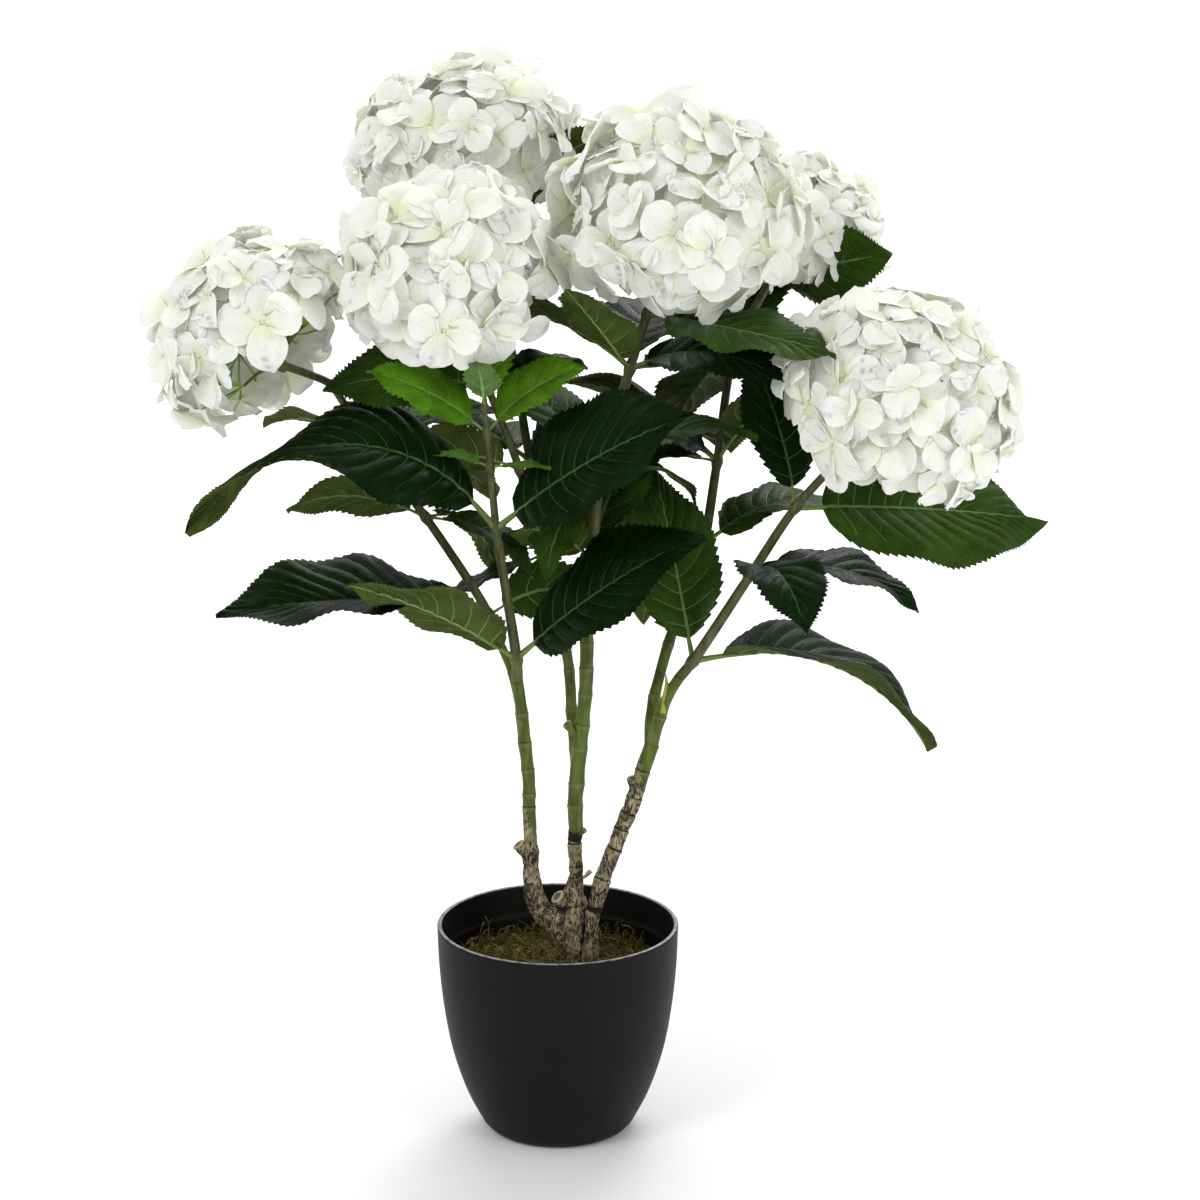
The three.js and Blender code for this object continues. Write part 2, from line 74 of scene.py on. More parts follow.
# The pot's foot as radius and height, and then the heights and radii that its wall curves through.
POT_FOOT = [(0.0, 0.0), (42, 0.0), (44.6, 0.5), (46.8, 1.7)]
POT_PROFILE = [(6, 51), (26, 61), (55, 70.5), (85, 76), (115, 79), (142, 80)]
POT_WALL = 3
MOSS_RADIUS = 75.2
MOSS_EDGE = 109.0
MOSS_CROWN = 4.5
MOSS_DEPTH = 12
LEAF_WIDTH = 0.54  # a blade's greatest width as a share of its length
BLADE_FOLD = radians(14)
HUB_DROP = 0.42  # how far a bloom's hub lies under its centre, as a share of its half height
GOLDEN_ANGLE = pi * (3 - 5**0.5)

# The trunk's limbs as paths with radii, its sawn stubs as foot, cut and radius, and its peg.
TRUNK_LIMBS = [
    (
        [(13, 0, 108), (13, 0, 118), (12, 0, 130), (10, -1, 142), (9, -1, 151), (10, 0, 162), (12, 2, 178)],
        [8.2, 9.2, 11.8, 13.6, 12.4, 5.8, 3.8],
    ),
    ([(9, 0, 130), (-3, -4, 143), (-14, -8, 160), (-17, -8, 180), (-17.5, -8, 199)], [9, 8.4, 6.6, 5.9, 5.0]),
]
SAWN_STUBS = [([(8.5, -6, 153.5), (-0.5, -10, 164)], 5.2), ([(-15, -8, 186), (-26, -9, 200)], 4.6)]
PEG = ([(13, -1, 170), (19.5, -3, 177), (22, -3.5, 179.5)], [1.3, 1.3, 2.3])


def cane_along(path, radii, joints, bark=(0, 4), black=()):
    """A cane's path, its radii by height and the heights of its joints.

    `bark` is the height where bark gives way to green, and over how many millimetres. `black` holds the
    height and the reach of each band that is painted black.
    """
    return {"path": path, "radii": radii, "joints": joints, "bark": bark, "black": black}


CANES = {
    "left_cane": cane_along(
        [(-17.5, -8, 192), (-19, -10, 244), (-22, -12, 276), (-25.5, -15, 313)],
        [(192, 5.0), (215, 4.5), (313, 4.2)],
        (227, 236, 253, 272, 292),
        bark=(216, 12),
    ),
    "left_rear_cane": cane_along(
        [(-24, -13, 296), (-30, -6, 318), (-38.5, -0.5, 338)], [(296, 3.4), (338, 3.2)], (318,)
    ),
    "middle_cane": cane_along(
        [
            (10.5, 0, 154), (12, 1.5, 166), (12, 2, 178), (11.5, 1, 205), (13, 0, 240), (16, -2, 275),
            (19, -3, 315), (19.5, -5, 372),
        ],
        [(154, 5.2), (170, 4.5), (199, 4.5), (206, 5.0), (240, 5.3), (372, 4.2)],
        (181, 198, 206, 225, 240, 265, 281, 302, 320, 337, 356),
        bark=(206, 2),
        black=((203, 3.2),),
    ),
    "middle_rear_cane": cane_along(
        [(13, 5, 240), (10, 13, 280), (6, 22, 320), (-4, 31, 372)],
        [(240, 4.2), (372, 3.4)],
        (262, 286, 312, 340),
    ),
    "right_cane": cane_along(
        [
            (20.5, -7, 112), (21.4, -9, 128), (22.4, -10.4, 144), (23.6, -11, 155), (27.5, -10.5, 168),
            (36, -10, 194), (50, -10, 229), (62, -10, 269),
        ],
        [(112, 5.6), (155, 4.9), (168, 5.4), (269, 5.2)],
        (157, 177, 198, 211, 222, 233, 252),
        bark=(246, 8),
        black=((156.5, 1.5),),
    ),
    "right_front_cane": cane_along(
        [(62, -10, 269), (66, -11.5, 286), (72, -14.5, 303), (80, -17.5, 317)],
        [(269, 4.6), (317, 3.8)],
        (290,),
    ),
    "right_rear_cane": cane_along(
        [(60.5, -8, 262), (61, -2, 283), (68, 14, 315), (81, 27, 352), (92, 36, 380)],
        [(262, 4.2), (380, 3.4)],
        (298, 330, 356),
    ),
}
# Short side shoots sawn off the canes: foot, cut, radius at the cut and the share of bark on them.
CANE_STUBS = [
    ((51.5, -10, 233), (49.6, -11.5, 246.5), 4.3, 0.55),
    ((15, -1, 269), (6.4, -5, 281.5), 3.3, 0.0),
    ((13, -1, 203), (18, -3.5, 208), 2.0, 0.35),
]
# The pointed bud in the fork of the right canes: its path and its radii by share of its length.
BUD = (
    [(68.5, -14.5, 292), (70.4, -15.5, 302), (71.2, -15.8, 310), (70.6, -15.4, 318)],
    [(0, 2.4), (0.5, 2.1), (0.85, 0.9), (1, 0.3)],
)


def pair(at, turn, long, lift, droop, roll=(0, 0), twist=(0, 0), spread=180, tones="mm", wide=(1, 1)):
    """Two leaves at one point of a shoot. Tones are d for dark, m for middle and y for young."""
    return [
        {
            "at": at,
            "azimuth": turn + k * spread,
            "long": long[k],
            "lift": lift[k],
            "droop": droop[k],
            "roll": roll[k],
            "twist": twist[k],
            "petiole": 5 + long[k] / 12,
            "tone": tones[k],
            "wide": wide[k],
        }
        for k in (0, 1)
    ]


def lone(at, turn, long, lift, droop, roll=0, tone="m"):
    """One leaf at a point of a shoot."""
    return pair(at, turn, (long, long), (lift, lift), (droop, droop), (roll, roll), tones=2 * tone)[:1]


def bloom_at(centre, axis, across, along, cover, floret):
    """A bloom's middle and axis, its half width and half height, degrees covered and florets' scale."""
    return {
        "centre": centre, "axis": axis, "across": across, "along": along, "cover": cover, "floret": floret,
    }


# Each shoot's path, its radii at both ends, its leaves by the number of the path's point, and its bloom.
SHOOTS = {
    "left_front_shoot": {
        "path": [
            (-25.5, -15, 313), (-26, -18, 329), (-38, -32, 419), (-41, -43, 462), (-43, -51, 486),
            (-44, -57, 503), (-44, -58, 509),
        ],
        "radii": (3.8, 1.6),
        "pairs": [
            pair(1, 212, (125, 142), (36, 44), (16, 20), (25, 42), (0, 0), 125, "md"),
            pair(2, 196, (215, 153), (51, 40), (106, 14), (-45, 52), (130, 0), 134, "dd", (0.76, 1)),
            pair(3, 170, (32, 32), (20, 10), (30, 20), tones="yy"),
            pair(4, 180, (74, 66), (40, 48), (30, 40), (-30, 30), (0, 0), 190, "yy"),
            pair(5, 85, (56, 38), (62, 60), (12, 20), tones="yy"),
        ],
    },
    "left_rear_shoot": {
        "path": [(-38.6, -0.4, 338.5), (-44, 5, 352), (-85, 15, 415), (-117, 8, 461), (-140, -1, 501)],
        "radii": (3.2, 2.6),
        "pairs": [
            pair(1, 188, (160, 70), (13, 30), (28, 60), (-4, 65), (-30, 0), 190, "dm"),
            pair(2, 195, (85, 75), (30, 0), (50, 60), (45, 0), (0, 0), 150, "mm"),
            pair(3, 150, (80, 85), (30, 30), (60, 40), (20, 0), (0, 0), 225, "mm"),
            lone(2, 48, 80, 0, 90),
            lone(3, 48, 115, -10, 30),
        ],
        "bloom": bloom_at((-188, -20, 541), (-0.62, 0.38, 0.66), 62, 56, 107, 0.86),
    },
    "left_middle_shoot": {
        "path": [(-6, 30, 368), (-24, 10, 448), (-43, -8, 505), (-52, -20, 535)],
        "radii": (3, 2.4),
        "pairs": [
            pair(1, 190, (82, 80), (25, 35), (60, 50), (60, 20), (0, 0), 200, "md"),
            pair(2, 190, (95, 70), (15, 28), (30, 56), (-40, 0), (0, 0), 203, "md"),
        ],
        "bloom": bloom_at((-67, -30, 584), (-0.05, -0.5, 0.86), 60, 51, 118, 1.0),
    },
    "rear_shoot": {
        "path": [
            (-4.3, 31.3, 373), (-7, 34, 386), (-18, 50, 445), (-31, 68, 522), (-44, 80, 592), (-51, 85, 614),
        ],
        "radii": (3.2, 2.4),
        "pairs": [
            pair(1, 250, (60, 80), (75, 40), (10, 50), tones="mm"),
            pair(2, 170, (115, 95), (35, 20), (60, 50), spread=225, tones="md"),
            pair(3, 90, (120, 100), (35, 35), (60, 60), spread=220, tones="dm"),
            pair(4, 175, (100, 60), (5, 65), (40, 4), spread=157, tones="md"),
            lone(1, 180, 70, -20, 10, tone="d"),
            lone(2, 132, 115, 20, 90),
            lone(4, 5, 92, 52, 30, -50),
        ],
        "bloom": bloom_at((-61, 90, 646), (-0.15, -0.1, 1), 68, 50, 118, 0.8),
    },
    "middle_shoot": {
        "path": [
            (19.6, -5, 373), (22, -6, 392), (28, -10, 446), (47, -17, 520), (58, -20, 556), (66, -20, 578),
        ],
        "radii": (4, 2.8),
        "pairs": [
            pair(1, 60, (110, 66), (60, 45), (40, 50), (0, 50), spread=160, tones="md"),
            pair(2, 150, (110, 105), (55, 45), (40, 60), spread=190, tones="mm"),
            pair(3, 237, (86, 105), (42, 25), (5, 60), (0, 20), spread=93, tones="md"),
            pair(3, 75, (115, 110), (30, 40), (50, 60), (0, 25), spread=95, tones="dd"),
            pair(4, 325, (126, 125), (-2, 40), (4, 30), (8, -25), spread=130, tones="mm"),
            lone(2, 228, 70, -20, 70),
            lone(2, 84, 80, -20, 50, 30, "d"),
            lone(2, 24, 70, 20, 90),
            lone(3, 36, 100, 0, 30, tone="d"),
        ],
        "bloom": bloom_at((77, -15, 618), (0.1, -0.4, 0.92), 71, 60, 118, 0.95),
    },
    "right_rear_shoot": {
        "path": [
            (92.2, 36.2, 380.5), (96, 38, 391), (105, 55, 443), (117, 75, 514), (139, 89, 555),
            (142, 91, 560),
        ],
        "radii": (3.3, 2.5),
        "pairs": [
            pair(1, 30, (115, 110), (30, 45), (60, 60), spread=130, tones="md"),
            pair(2, 340, (100, 65), (60, 15), (40, 60), (-20, 0), spread=205, tones="dm"),
            pair(2, 150, (120, 85), (40, 40), (50, 60), (25, -25), spread=60, tones="dd"),
            pair(3, 80, (115, 94), (40, 40), (60, 50), (0, -25), tones="mm"),
            pair(4, 320, (90, 95), (22, 0), (10, 50), (91, 0), spread=144, tones="mm"),
            lone(1, 120, 100, -20, 50),
            lone(2, 84, 105, 30, 90),
            lone(3, 120, 100, -30, 30, tone="d"),
        ],
        "bloom": bloom_at((157, 100, 587), (0.35, 0.1, 0.92), 54, 46, 112, 0.8),
    },
    "right_front_shoot": {
        "path": [
            (80.2, -17.6, 317.3), (88, -20, 328), (124, -30, 388), (152, -40, 435), (179, -45, 467),
            (189, -47, 477),
        ],
        "radii": (3.6, 2.6),
        "pairs": [
            pair(1, 5, (166, 118), (10, 68), (74, 15), (-3, 0), spread=113, tones="dm"),
            pair(2, 352, (103, 96), (16, 28), (62, 84), (4, 0), spread=297, tones="dd"),
            pair(3, 24, (167, 95), (-5, 70), (5, 25), (41, 0), spread=96, tones="md"),
        ],
        "bloom": bloom_at((214, -50, 505), (0.45, -0.3, 0.84), 70, 64, 116, 0.88),
    },
}


# ---- what a user would change ----


def length_field(name, description, default):
    return bpy.props.FloatProperty(name=name, description=description, default=default, unit="LENGTH")


def count_field(name, description, default):
    return bpy.props.IntProperty(name=name, description=description, default=default)


def tint_field(name, description, default):
    return bpy.props.FloatVectorProperty(name=name, description=description, default=default, subtype="COLOR")


class HydrangeaSizes(bpy.types.PropertyGroup):
    """Sizes and counts of the plant's fine detail."""

    petal_length: length_field("Petal length", "From a floret's eye to a petal's tip", 0.0275)
    petal_width: length_field("Petal width", "A petal at its widest", 0.0255)
    floret_space: bpy.props.FloatProperty(
        name="Floret space",
        description="Square millimetres of a bloom's surface for each floret",
        default=470.0,
    )
    leaf_thickness: length_field("Leaf thickness", "Thickness of a leaf blade", 0.0005)
    moss_strands: count_field("Moss strands", "Number of loose strands on the moss", 2600)
    pot_segments: count_field("Pot segments", "Faces round the pot", 128)
    seed: count_field("Seed", "Start of every random draw", 9)


class HydrangeaColours(bpy.types.PropertyGroup):
    """Colours of the plant and its pot."""

    petal: tint_field("Petal", "Outer part of a petal", (0.775, 0.78, 0.738))
    petal_eye: tint_field("Petal eye", "Petal at a floret's eye", (0.73, 0.78, 0.55))
    leaf_dark: tint_field("Dark leaf", "Top of an old leaf", (0.0034, 0.0145, 0.0014))
    leaf_middle: tint_field("Middle leaf", "Top of a middling leaf", (0.027, 0.061, 0.006))
    leaf_young: tint_field("Young leaf", "Top of a new leaf", (0.078, 0.2, 0.008))
    leaf_back: tint_field("Leaf back", "Underside of a leaf", (0.058, 0.082, 0.018))
    stem: tint_field("Stem", "Green canes", (0.082, 0.116, 0.018))
    bark: tint_field("Bark", "Pale weathered bark", (0.30, 0.25, 0.145))
    pot: tint_field("Pot", "Pot plastic", (0.0068, 0.0066, 0.0062))


def sizes():
    return bpy.context.scene.hydrangea_sizes


def colours():
    return bpy.context.scene.hydrangea_colours


# ---- node trees written as expressions ----


def both_ways(name):
    """An operator's two methods, plain and reflected. Each adds a Math node."""
    return (
        lambda self, other: self.board.math(name, self, other),
        lambda self, other: self.board.math(name, other, self),
    )


def rgba(colour, gain=1.0):
    """A colour's first three channels, times the gain, and full opacity."""
    return (*(min(1.0, channel * gain) for channel in colour[:3]), 1.0)


class Signal:
    """A value in a node tree, with Python's operators."""

    def __init__(self, board, socket):
        self.board = board
        self.socket = socket

    __add__, __radd__ = both_ways("ADD")
    __sub__, __rsub__ = both_ways("SUBTRACT")
    __mul__, __rmul__ = both_ways("MULTIPLY")

    def between(self, low, high):
        """0 below low, 1 above high and smooth between."""
        made = self.board.node(
            "ShaderNodeMapRange",
            {"interpolation_type": "SMOOTHSTEP", "clamp": True},
            {"Value": self, "From Min": low, "From Max": high},
        )
        return Signal(self.board, made.outputs["Result"])


class Board:
    """A node tree that nodes are set on."""

    def __init__(self, tree):
        self.tree = tree

    def node(self, kind, settings=None, sockets=None):
        made = self.tree.nodes.new(kind)
        for name, value in (settings or {}).items():
            setattr(made, name, value)
        for name, value in (sockets or {}).items():
            self.feed(self.find(made, name), value)
        return made

    def find(self, node, name):
        if isinstance(name, int):
            return node.inputs[name]
        for socket in node.inputs:
            if socket.identifier == name:
                return socket
        return node.inputs[name]

    def feed(self, socket, value):
        if isinstance(value, Signal):
            value = value.socket
        if isinstance(value, bpy.types.NodeSocket):
            self.tree.links.new(value, socket)
        else:
            socket.default_value = value

    def signal(self, kind, output, settings=None, sockets=None):
        return Signal(self, self.node(kind, settings, sockets).outputs[output])

    def math(self, operation, *values):
        return self.signal("ShaderNodeMath", 0, {"operation": operation}, dict(enumerate(values)))

    def vector_math(self, operation, first, second):
        return self.signal("ShaderNodeVectorMath", 0, {"operation": operation}, {0: first, 1: second})

    def blend(self, factor, first, second):
        """Mix two colours. One of three numbers is opaque."""
        first, second = (rgba(c) if isinstance(c, tuple) else c for c in (first, second))
        sockets = {"Factor_Float": factor, "A_Color": first, "B_Color": second}
        made = self.node("ShaderNodeMix", {"data_type": "RGBA"}, sockets)
        return Signal(self, next(s for s in made.outputs if s.identifier == "Result_Color"))


class Finish(Board):
    """A material's tree with its main shader."""

    def __init__(self, name, **constants):
        self.material = bpy.data.materials.new(name)
        self.material.use_nodes = True
        super().__init__(self.material.node_tree)
        self.shader = self.tree.nodes["Principled BSDF"]
        for socket, value in constants.items():
            self.shader.inputs[socket.replace("_", " ")].default_value = value
        self.places = self.signal("ShaderNodeTexCoord", "Object")

    def stretched(self, scale):
        """Places drawn out along the stem, by this scale of its height."""
        return self.vector_math("MULTIPLY", self.places, (1.0, 1.0, scale))

    def cloud(self, scale, detail=3.0, vector=None, roughness=0.55):
        sockets = {"Vector": vector or self.places, "Scale": scale, "Detail": detail, "Roughness": roughness}
        return self.signal("ShaderNodeTexNoise", "Fac", None, sockets)

    def cells(self, scale):
        """Distance to the border between cells."""
        sockets = {"Vector": self.places, "Scale": scale}
        return self.signal("ShaderNodeTexVoronoi", "Distance", {"feature": "DISTANCE_TO_EDGE"}, sockets)

    def attribute(self, name):
        return self.signal("ShaderNodeAttribute", "Fac", {"attribute_name": name})

    def colour(self, value):
        self.feed(self.shader.inputs["Base Color"], value)

    def roughness(self, value):
        self.feed(self.shader.inputs["Roughness"], value)

    def relief(self, height, depth):
        """Bump by a height signal from 0 to 1, this many metres deep."""
        sockets = {"Height": height, "Distance": depth, "Strength": 1.0}
        self.feed(self.shader.inputs["Normal"], self.signal("ShaderNodeBump", "Normal", None, sockets))


def pot_plastic():
    made = Finish("pot_plastic", Specular_IOR_Level=0.1)
    base = colours().pot
    made.colour(made.blend(made.cloud(55.0, 5.0), rgba(base, 0.8), rgba(base, 1.25)))
    made.roughness(0.46 + 0.12 * made.cloud(120.0, 4.0))
    made.relief(made.cloud(1900.0, 2.0), 0.00006)
    return made.material


def pot_rim():
    made = Finish("pot_rim", Specular_IOR_Level=0.5)
    # Painted highlight and dust: lighter grey patches on the rounded rim, partly dust and partly the
    # highlight its edge would catch.
    dust_and_sheen = made.cloud(190.0, 6.0).between(0.36, 0.56)
    made.colour(made.blend(dust_and_sheen, (0.035, 0.035, 0.033), (0.17, 0.168, 0.157)))
    made.roughness(0.34 + 0.2 * made.cloud(300.0, 3.0))
    return made.material


def moss_ground():
    made = Finish("moss_ground", Specular_IOR_Level=0.2)
    patches = made.cloud(42.0, 5.0).between(0.4, 0.62)
    fine = made.cloud(420.0, 4.0).between(0.35, 0.68)
    earth = made.blend(fine, (0.010, 0.006, 0.003), (0.085, 0.058, 0.014))
    green = made.blend(fine, (0.03, 0.026, 0.004), (0.17, 0.15, 0.022))
    made.colour(made.blend(patches, earth, green))
    made.roughness(0.9 + 0.08 * fine)
    made.relief(made.cloud(700.0, 5.0), 0.0012)
    return made.material


def moss_strand(name, low, high):
    made = Finish(name, Roughness=0.85, Specular_IOR_Level=0.25)
    made.colour(made.blend(made.cloud(160.0, 2.0).between(0.35, 0.65), low, high))
    return made.material


def barked(made, woody):
    """Pale fibrous bark under short black streaks, laid over what lies under it by the share `woody`."""
    base = colours().bark
    warp = made.cloud(150.0, 3.0) * 0.005
    shifted = made.vector_math("ADD", made.places, warp)
    drawn = made.vector_math("MULTIPLY", shifted, (1.0, 1.0, 0.3))
    patches = made.cloud(70.0, 4.0).between(0.36, 0.64)
    streaks = (made.cloud(820.0, 4.0, drawn, 0.6) + 0.12 * patches).between(0.53, 0.63)
    tones = made.cloud(230.0, 5.0).between(0.32, 0.68)
    pale = made.blend(tones, rgba(base, 0.52), rgba(base, 1.3))
    bark = made.blend(streaks * 0.93, pale, (0.011, 0.009, 0.007))
    height = (1.0 - streaks) * 0.55 + made.cloud(1200.0, 4.0, drawn) * 0.45
    return bark, height * woody


def trunk_bark():
    made = Finish("trunk_bark", Specular_IOR_Level=0.25)
    bark, height = barked(made, 1.0)
    # Painted shade: the bark turns near black where limbs of the trunk meet in a crease.
    made.colour(made.blend(made.attribute("crevice"), bark, (0.008, 0.007, 0.006)))
    made.roughness(0.72 + 0.2 * made.cloud(300.0, 3.0))
    made.relief(height, 0.0012)
    return made.material


def cut_wood():
    """A sawn face: dark in the middle, with a pale ring round it."""
    made = Finish("cut_wood", Roughness=0.75, Specular_IOR_Level=0.2)
    ring = made.attribute("ring") + 0.25 * (made.cloud(420.0, 3.0) - 0.5)
    heart = made.blend(made.cloud(700.0, 4.0), (0.035, 0.03, 0.014), (0.16, 0.14, 0.075))
    made.colour(made.blend(ring.between(0.5, 0.74), heart, (0.36, 0.32, 0.19)))
    made.relief(made.cloud(900.0, 3.0), 0.0005)
    return made.material


def cane_skin():
    """Green cane that turns to bark low down, with a dark line at each joint."""
    made = Finish("cane_skin", Specular_IOR_Level=0.18)
    base = colours().stem
    streaks = made.cloud(260.0, 4.0, made.stretched(0.12))
    green = made.blend(streaks.between(0.35, 0.68), rgba(base, 0.62), rgba(base, 1.25))
    scars = made.cloud(120.0, 5.0, made.stretched(0.4)).between(0.56, 0.7)
    green = made.blend(scars * 0.6, green, (0.19, 0.165, 0.075))
    patches = made.cloud(130.0, 4.0, made.stretched(0.45))
    woody = (made.attribute("woody") + 1.3 * (patches - 0.5)).between(0.36, 0.6)
    bark, height = barked(made, woody)
    skin = made.blend(woody, green, bark)
    skin = made.blend(made.attribute("ledge") * 0.22, skin, (0.26, 0.24, 0.12))
    black = made.attribute("groove") + 0.4 * (made.cloud(330.0, 3.0) - 0.5)
    made.colour(made.blend(black.between(0.25, 0.7), skin, (0.012, 0.010, 0.007)))
    made.roughness(0.5 + 0.3 * woody)
    made.relief(height * 0.8 + streaks * 0.2, 0.0009)
    return made.material


def stem_skin():
    made = Finish("stem_skin", Specular_IOR_Level=0.3)
    streaks = made.cloud(240.0, 3.0, made.stretched(0.2))
    made.colour(made.blend(streaks.between(0.3, 0.7), (0.055, 0.056, 0.022), (0.105, 0.118, 0.036)))
    made.roughness(0.42 + 0.15 * streaks)
    made.relief(streaks, 0.0004)
    return made.material


def blade_skin(name, colour, gloss, gain=(0.72, 1.3), coat=0.0, lines=0.34):
    """A leaf's skin: blotched, with a net of small veins pressed into it."""
    made = Finish(name, Specular_IOR_Level=0.04, Coat_Weight=coat, Coat_Roughness=0.2, Coat_IOR=1.35)
    net = made.cells(330.0).between(0.01, 0.1)
    fine = made.cells(900.0).between(0.02, 0.25)
    blotch = made.cloud(48.0, 3.0).between(0.3, 0.7)
    body = made.blend(blotch, rgba(colour, gain[0]), rgba(colour, gain[1]))
    made.colour(made.blend((1.0 - net) * lines, body, rgba(colour, 2.0)))
    made.roughness(gloss + 0.12 * made.cloud(90.0, 2.0))
    made.relief(net * 0.75 + fine * 0.25, 0.0004)
    return made.material


def vein_skin(name, colour, gloss):
    made = Finish(name, Specular_IOR_Level=0.18)
    made.colour(made.blend(made.cloud(120.0, 2.0), rgba(colour, 0.75), rgba(colour, 1.2)))
    made.roughness(gloss + 0.1 * made.cloud(200.0, 2.0))
    return made.material


def petal_skin(name, colour):
    """Thin cloth that lets light through, with fine pleats that fan out along the petal, and a faint glow of
    painted light.
    """
    made = Finish(
        name,
        Specular_IOR_Level=0.2,
        Subsurface_Weight=0.8,
        Subsurface_Radius=(1.0, 1.0, 0.8),
        Subsurface_Scale=0.0011,
        # Painted light: a faint warm-white glow by emission that lifts the petals' shade, as if light came
        # through them.
        Emission_Color=(1.0, 1.0, 0.92, 1.0),
        Emission_Strength=0.045,
    )
    folds = made.cloud(130.0, 3.0).between(0.3, 0.7)
    made.colour(made.blend(folds, rgba(colour, 0.965), rgba(colour, 1.02)))
    made.roughness(0.72 + 0.1 * folds)
    pleats = made.math("SINE", made.attribute("across") * 26.0 + made.cloud(90.0, 2.0) * 9.0)
    made.relief(pleats * 0.35 + made.cloud(420.0, 3.0), 0.00017)
    return made.material


# ---- curves, tubes and gathered meshes ----


def smooth_path(points, spacing):
    """Evenly spaced points, and their distances along it, on the smooth curve through the given ones."""
    given = np.asarray(points, float)
    ends = np.vstack([2 * given[0] - given[1], given, 2 * given[-1] - given[-2]])
    rows = []
    t = np.linspace(0, 1, 24, endpoint=False)[:, None]
    for a, b, c, d in zip(ends, ends[1:], ends[2:], ends[3:]):
        da, db, dc = (np.linalg.norm(far - near) ** 0.5 for near, far in ((a, b), (b, c), (c, d)))
        leave = ((b - a) / da - (c - a) / (da + db) + (c - b) / db) * db
        arrive = ((c - b) / db - (d - b) / (db + dc) + (d - c) / dc) * db
        square, cube = 3 * (c - b) - 2 * leave - arrive, 2 * (b - c) + leave + arrive
        rows.append(b + leave * t + square * t**2 + cube * t**3)
    rows.append(given[-1:])
    fine = np.vstack(rows)
    run = np.concatenate([[0.0], np.cumsum(np.linalg.norm(np.diff(fine, axis=0), axis=1))])
    at = np.linspace(0, run[-1], max(3, round(run[-1] / spacing) + 1))
    return np.stack([np.interp(at, run, fine[:, k]) for k in range(3)], axis=1), at


def around_circle(count):
    """Evenly spaced angles of a full turn."""
    return np.linspace(0, tau, count, endpoint=False)


def draws(offset):
    """Random draws of a piece's own, which start from the user's seed."""
    return np.random.default_rng(sizes().seed + offset)


def unit(vectors):
    return vectors / np.linalg.norm(vectors, axis=-1, keepdims=True)


def rings(path, radii, sides):
    """Points of a tube, one ring of them for each point of the path."""
    path = np.asarray(path, float)
    along = unit(np.gradient(path, axis=0))
    across = np.cross((0.1, 1.0, 0.1), along[0])
    angle = around_circle(sides)
    found = []
    for centre, radius, ahead in zip(path, np.broadcast_to(radii, len(path)), along):
        across = unit(across - across.dot(ahead) * ahead)
        other = np.cross(ahead, across)
        found.append(centre + radius * (np.outer(np.cos(angle), across) + np.outer(np.sin(angle), other)))
    return np.array(found)


def tube_faces(count, sides):
    """Faces of a closed tube of `count` rings."""
    ring = np.arange(count - 1)[:, None] * sides
    k = np.arange(sides)[None, :]
    after = (k + 1) % sides
    above = ring + sides
    quads = np.stack([ring + k, ring + after, above + after, above + k], axis=-1).reshape(-1, 4)
    caps = [list(range(sides))[::-1], list(range((count - 1) * sides, count * sides))]
    return quads.tolist() + caps


class Sheaf:
    """Many small closed parts gathered into one mesh, each face with its material's number."""

    def __init__(self):
        self.points = []
        self.faces = []
        self.slots = []
        self.marks = {}
        self.count = 0

    def add(self, points, faces, slots=0, **marks):
        """Add a part, in millimetres. Marks are values at its points, kept as attributes."""
        points = np.asarray(points, float).reshape(-1, 3)
        self.points.append(points)
        self.faces.extend([index + self.count for index in face] for face in faces)
        self.slots.extend([slots] * len(faces) if isinstance(slots, int) else slots)
        for name, values in marks.items():
            self.marks.setdefault(name, []).append(np.broadcast_to(values, len(points)))
        self.count += len(points)

    def tube(self, path, radii, sides, slot=0, **marks):
        found = rings(path, radii, sides)
        spread = {name: np.repeat(np.asarray(values, float), sides) for name, values in marks.items()}
        self.add(found, tube_faces(len(found), sides), slot, **spread)

    def mesh(self, name, materials):
        mesh = bpy.data.meshes.new(name)
        mesh.from_pydata(np.vstack(self.points) * MM, [], self.faces)
        for material in materials:
            mesh.materials.append(material)
        mesh.polygons.foreach_set("material_index", self.slots)
        mesh.polygons.foreach_set("use_smooth", [True] * len(self.faces))
        for label, values in self.marks.items():
            mark(mesh, label, np.concatenate(values))
        mesh.update()
        return mesh


def mark(mesh, name, values):
    """Keep a value at each of a mesh's points, as an attribute."""
    mesh.attributes.new(name, "FLOAT", "POINT").data.foreach_set("value", values)


def fetched(items, name):
    """The vectors that a mesh's points or faces hold under a name, as rows."""
    values = np.empty(len(items) * 3)
    items.foreach_get(name, values)
    return values.reshape(-1, 3)


def show(mesh, slot, *nodes):
    """Make a piece of a mesh: it rides on the body and stands for its nodes. The slot is not used."""
    piece = bpy.data.objects.new(mesh.name, mesh)
    bpy.context.scene.collection.objects.link(piece)
    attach(piece, BODY)
    if nodes:
        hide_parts(*nodes)


def keep_shape(source, name):
    """The evaluated mesh of an object, which is then deleted."""
    bpy.context.view_layer.update()
    graph = bpy.context.evaluated_depsgraph_get()
    shaped = source.evaluated_get(graph)
    mesh = bpy.data.meshes.new_from_object(shaped, preserve_all_data_layers=True, depsgraph=graph)
    mesh.name = name
    bpy.data.objects.remove(source)
    return mesh


def flat_sharp(mesh, degrees):
    """Shade smooth, with edges sharper than this kept sharp."""
    mesh.polygons.foreach_set("use_smooth", [True] * len(mesh.polygons))
    mesh.set_sharp_from_angle(angle=radians(degrees))


# ---- scattering by nodes ----


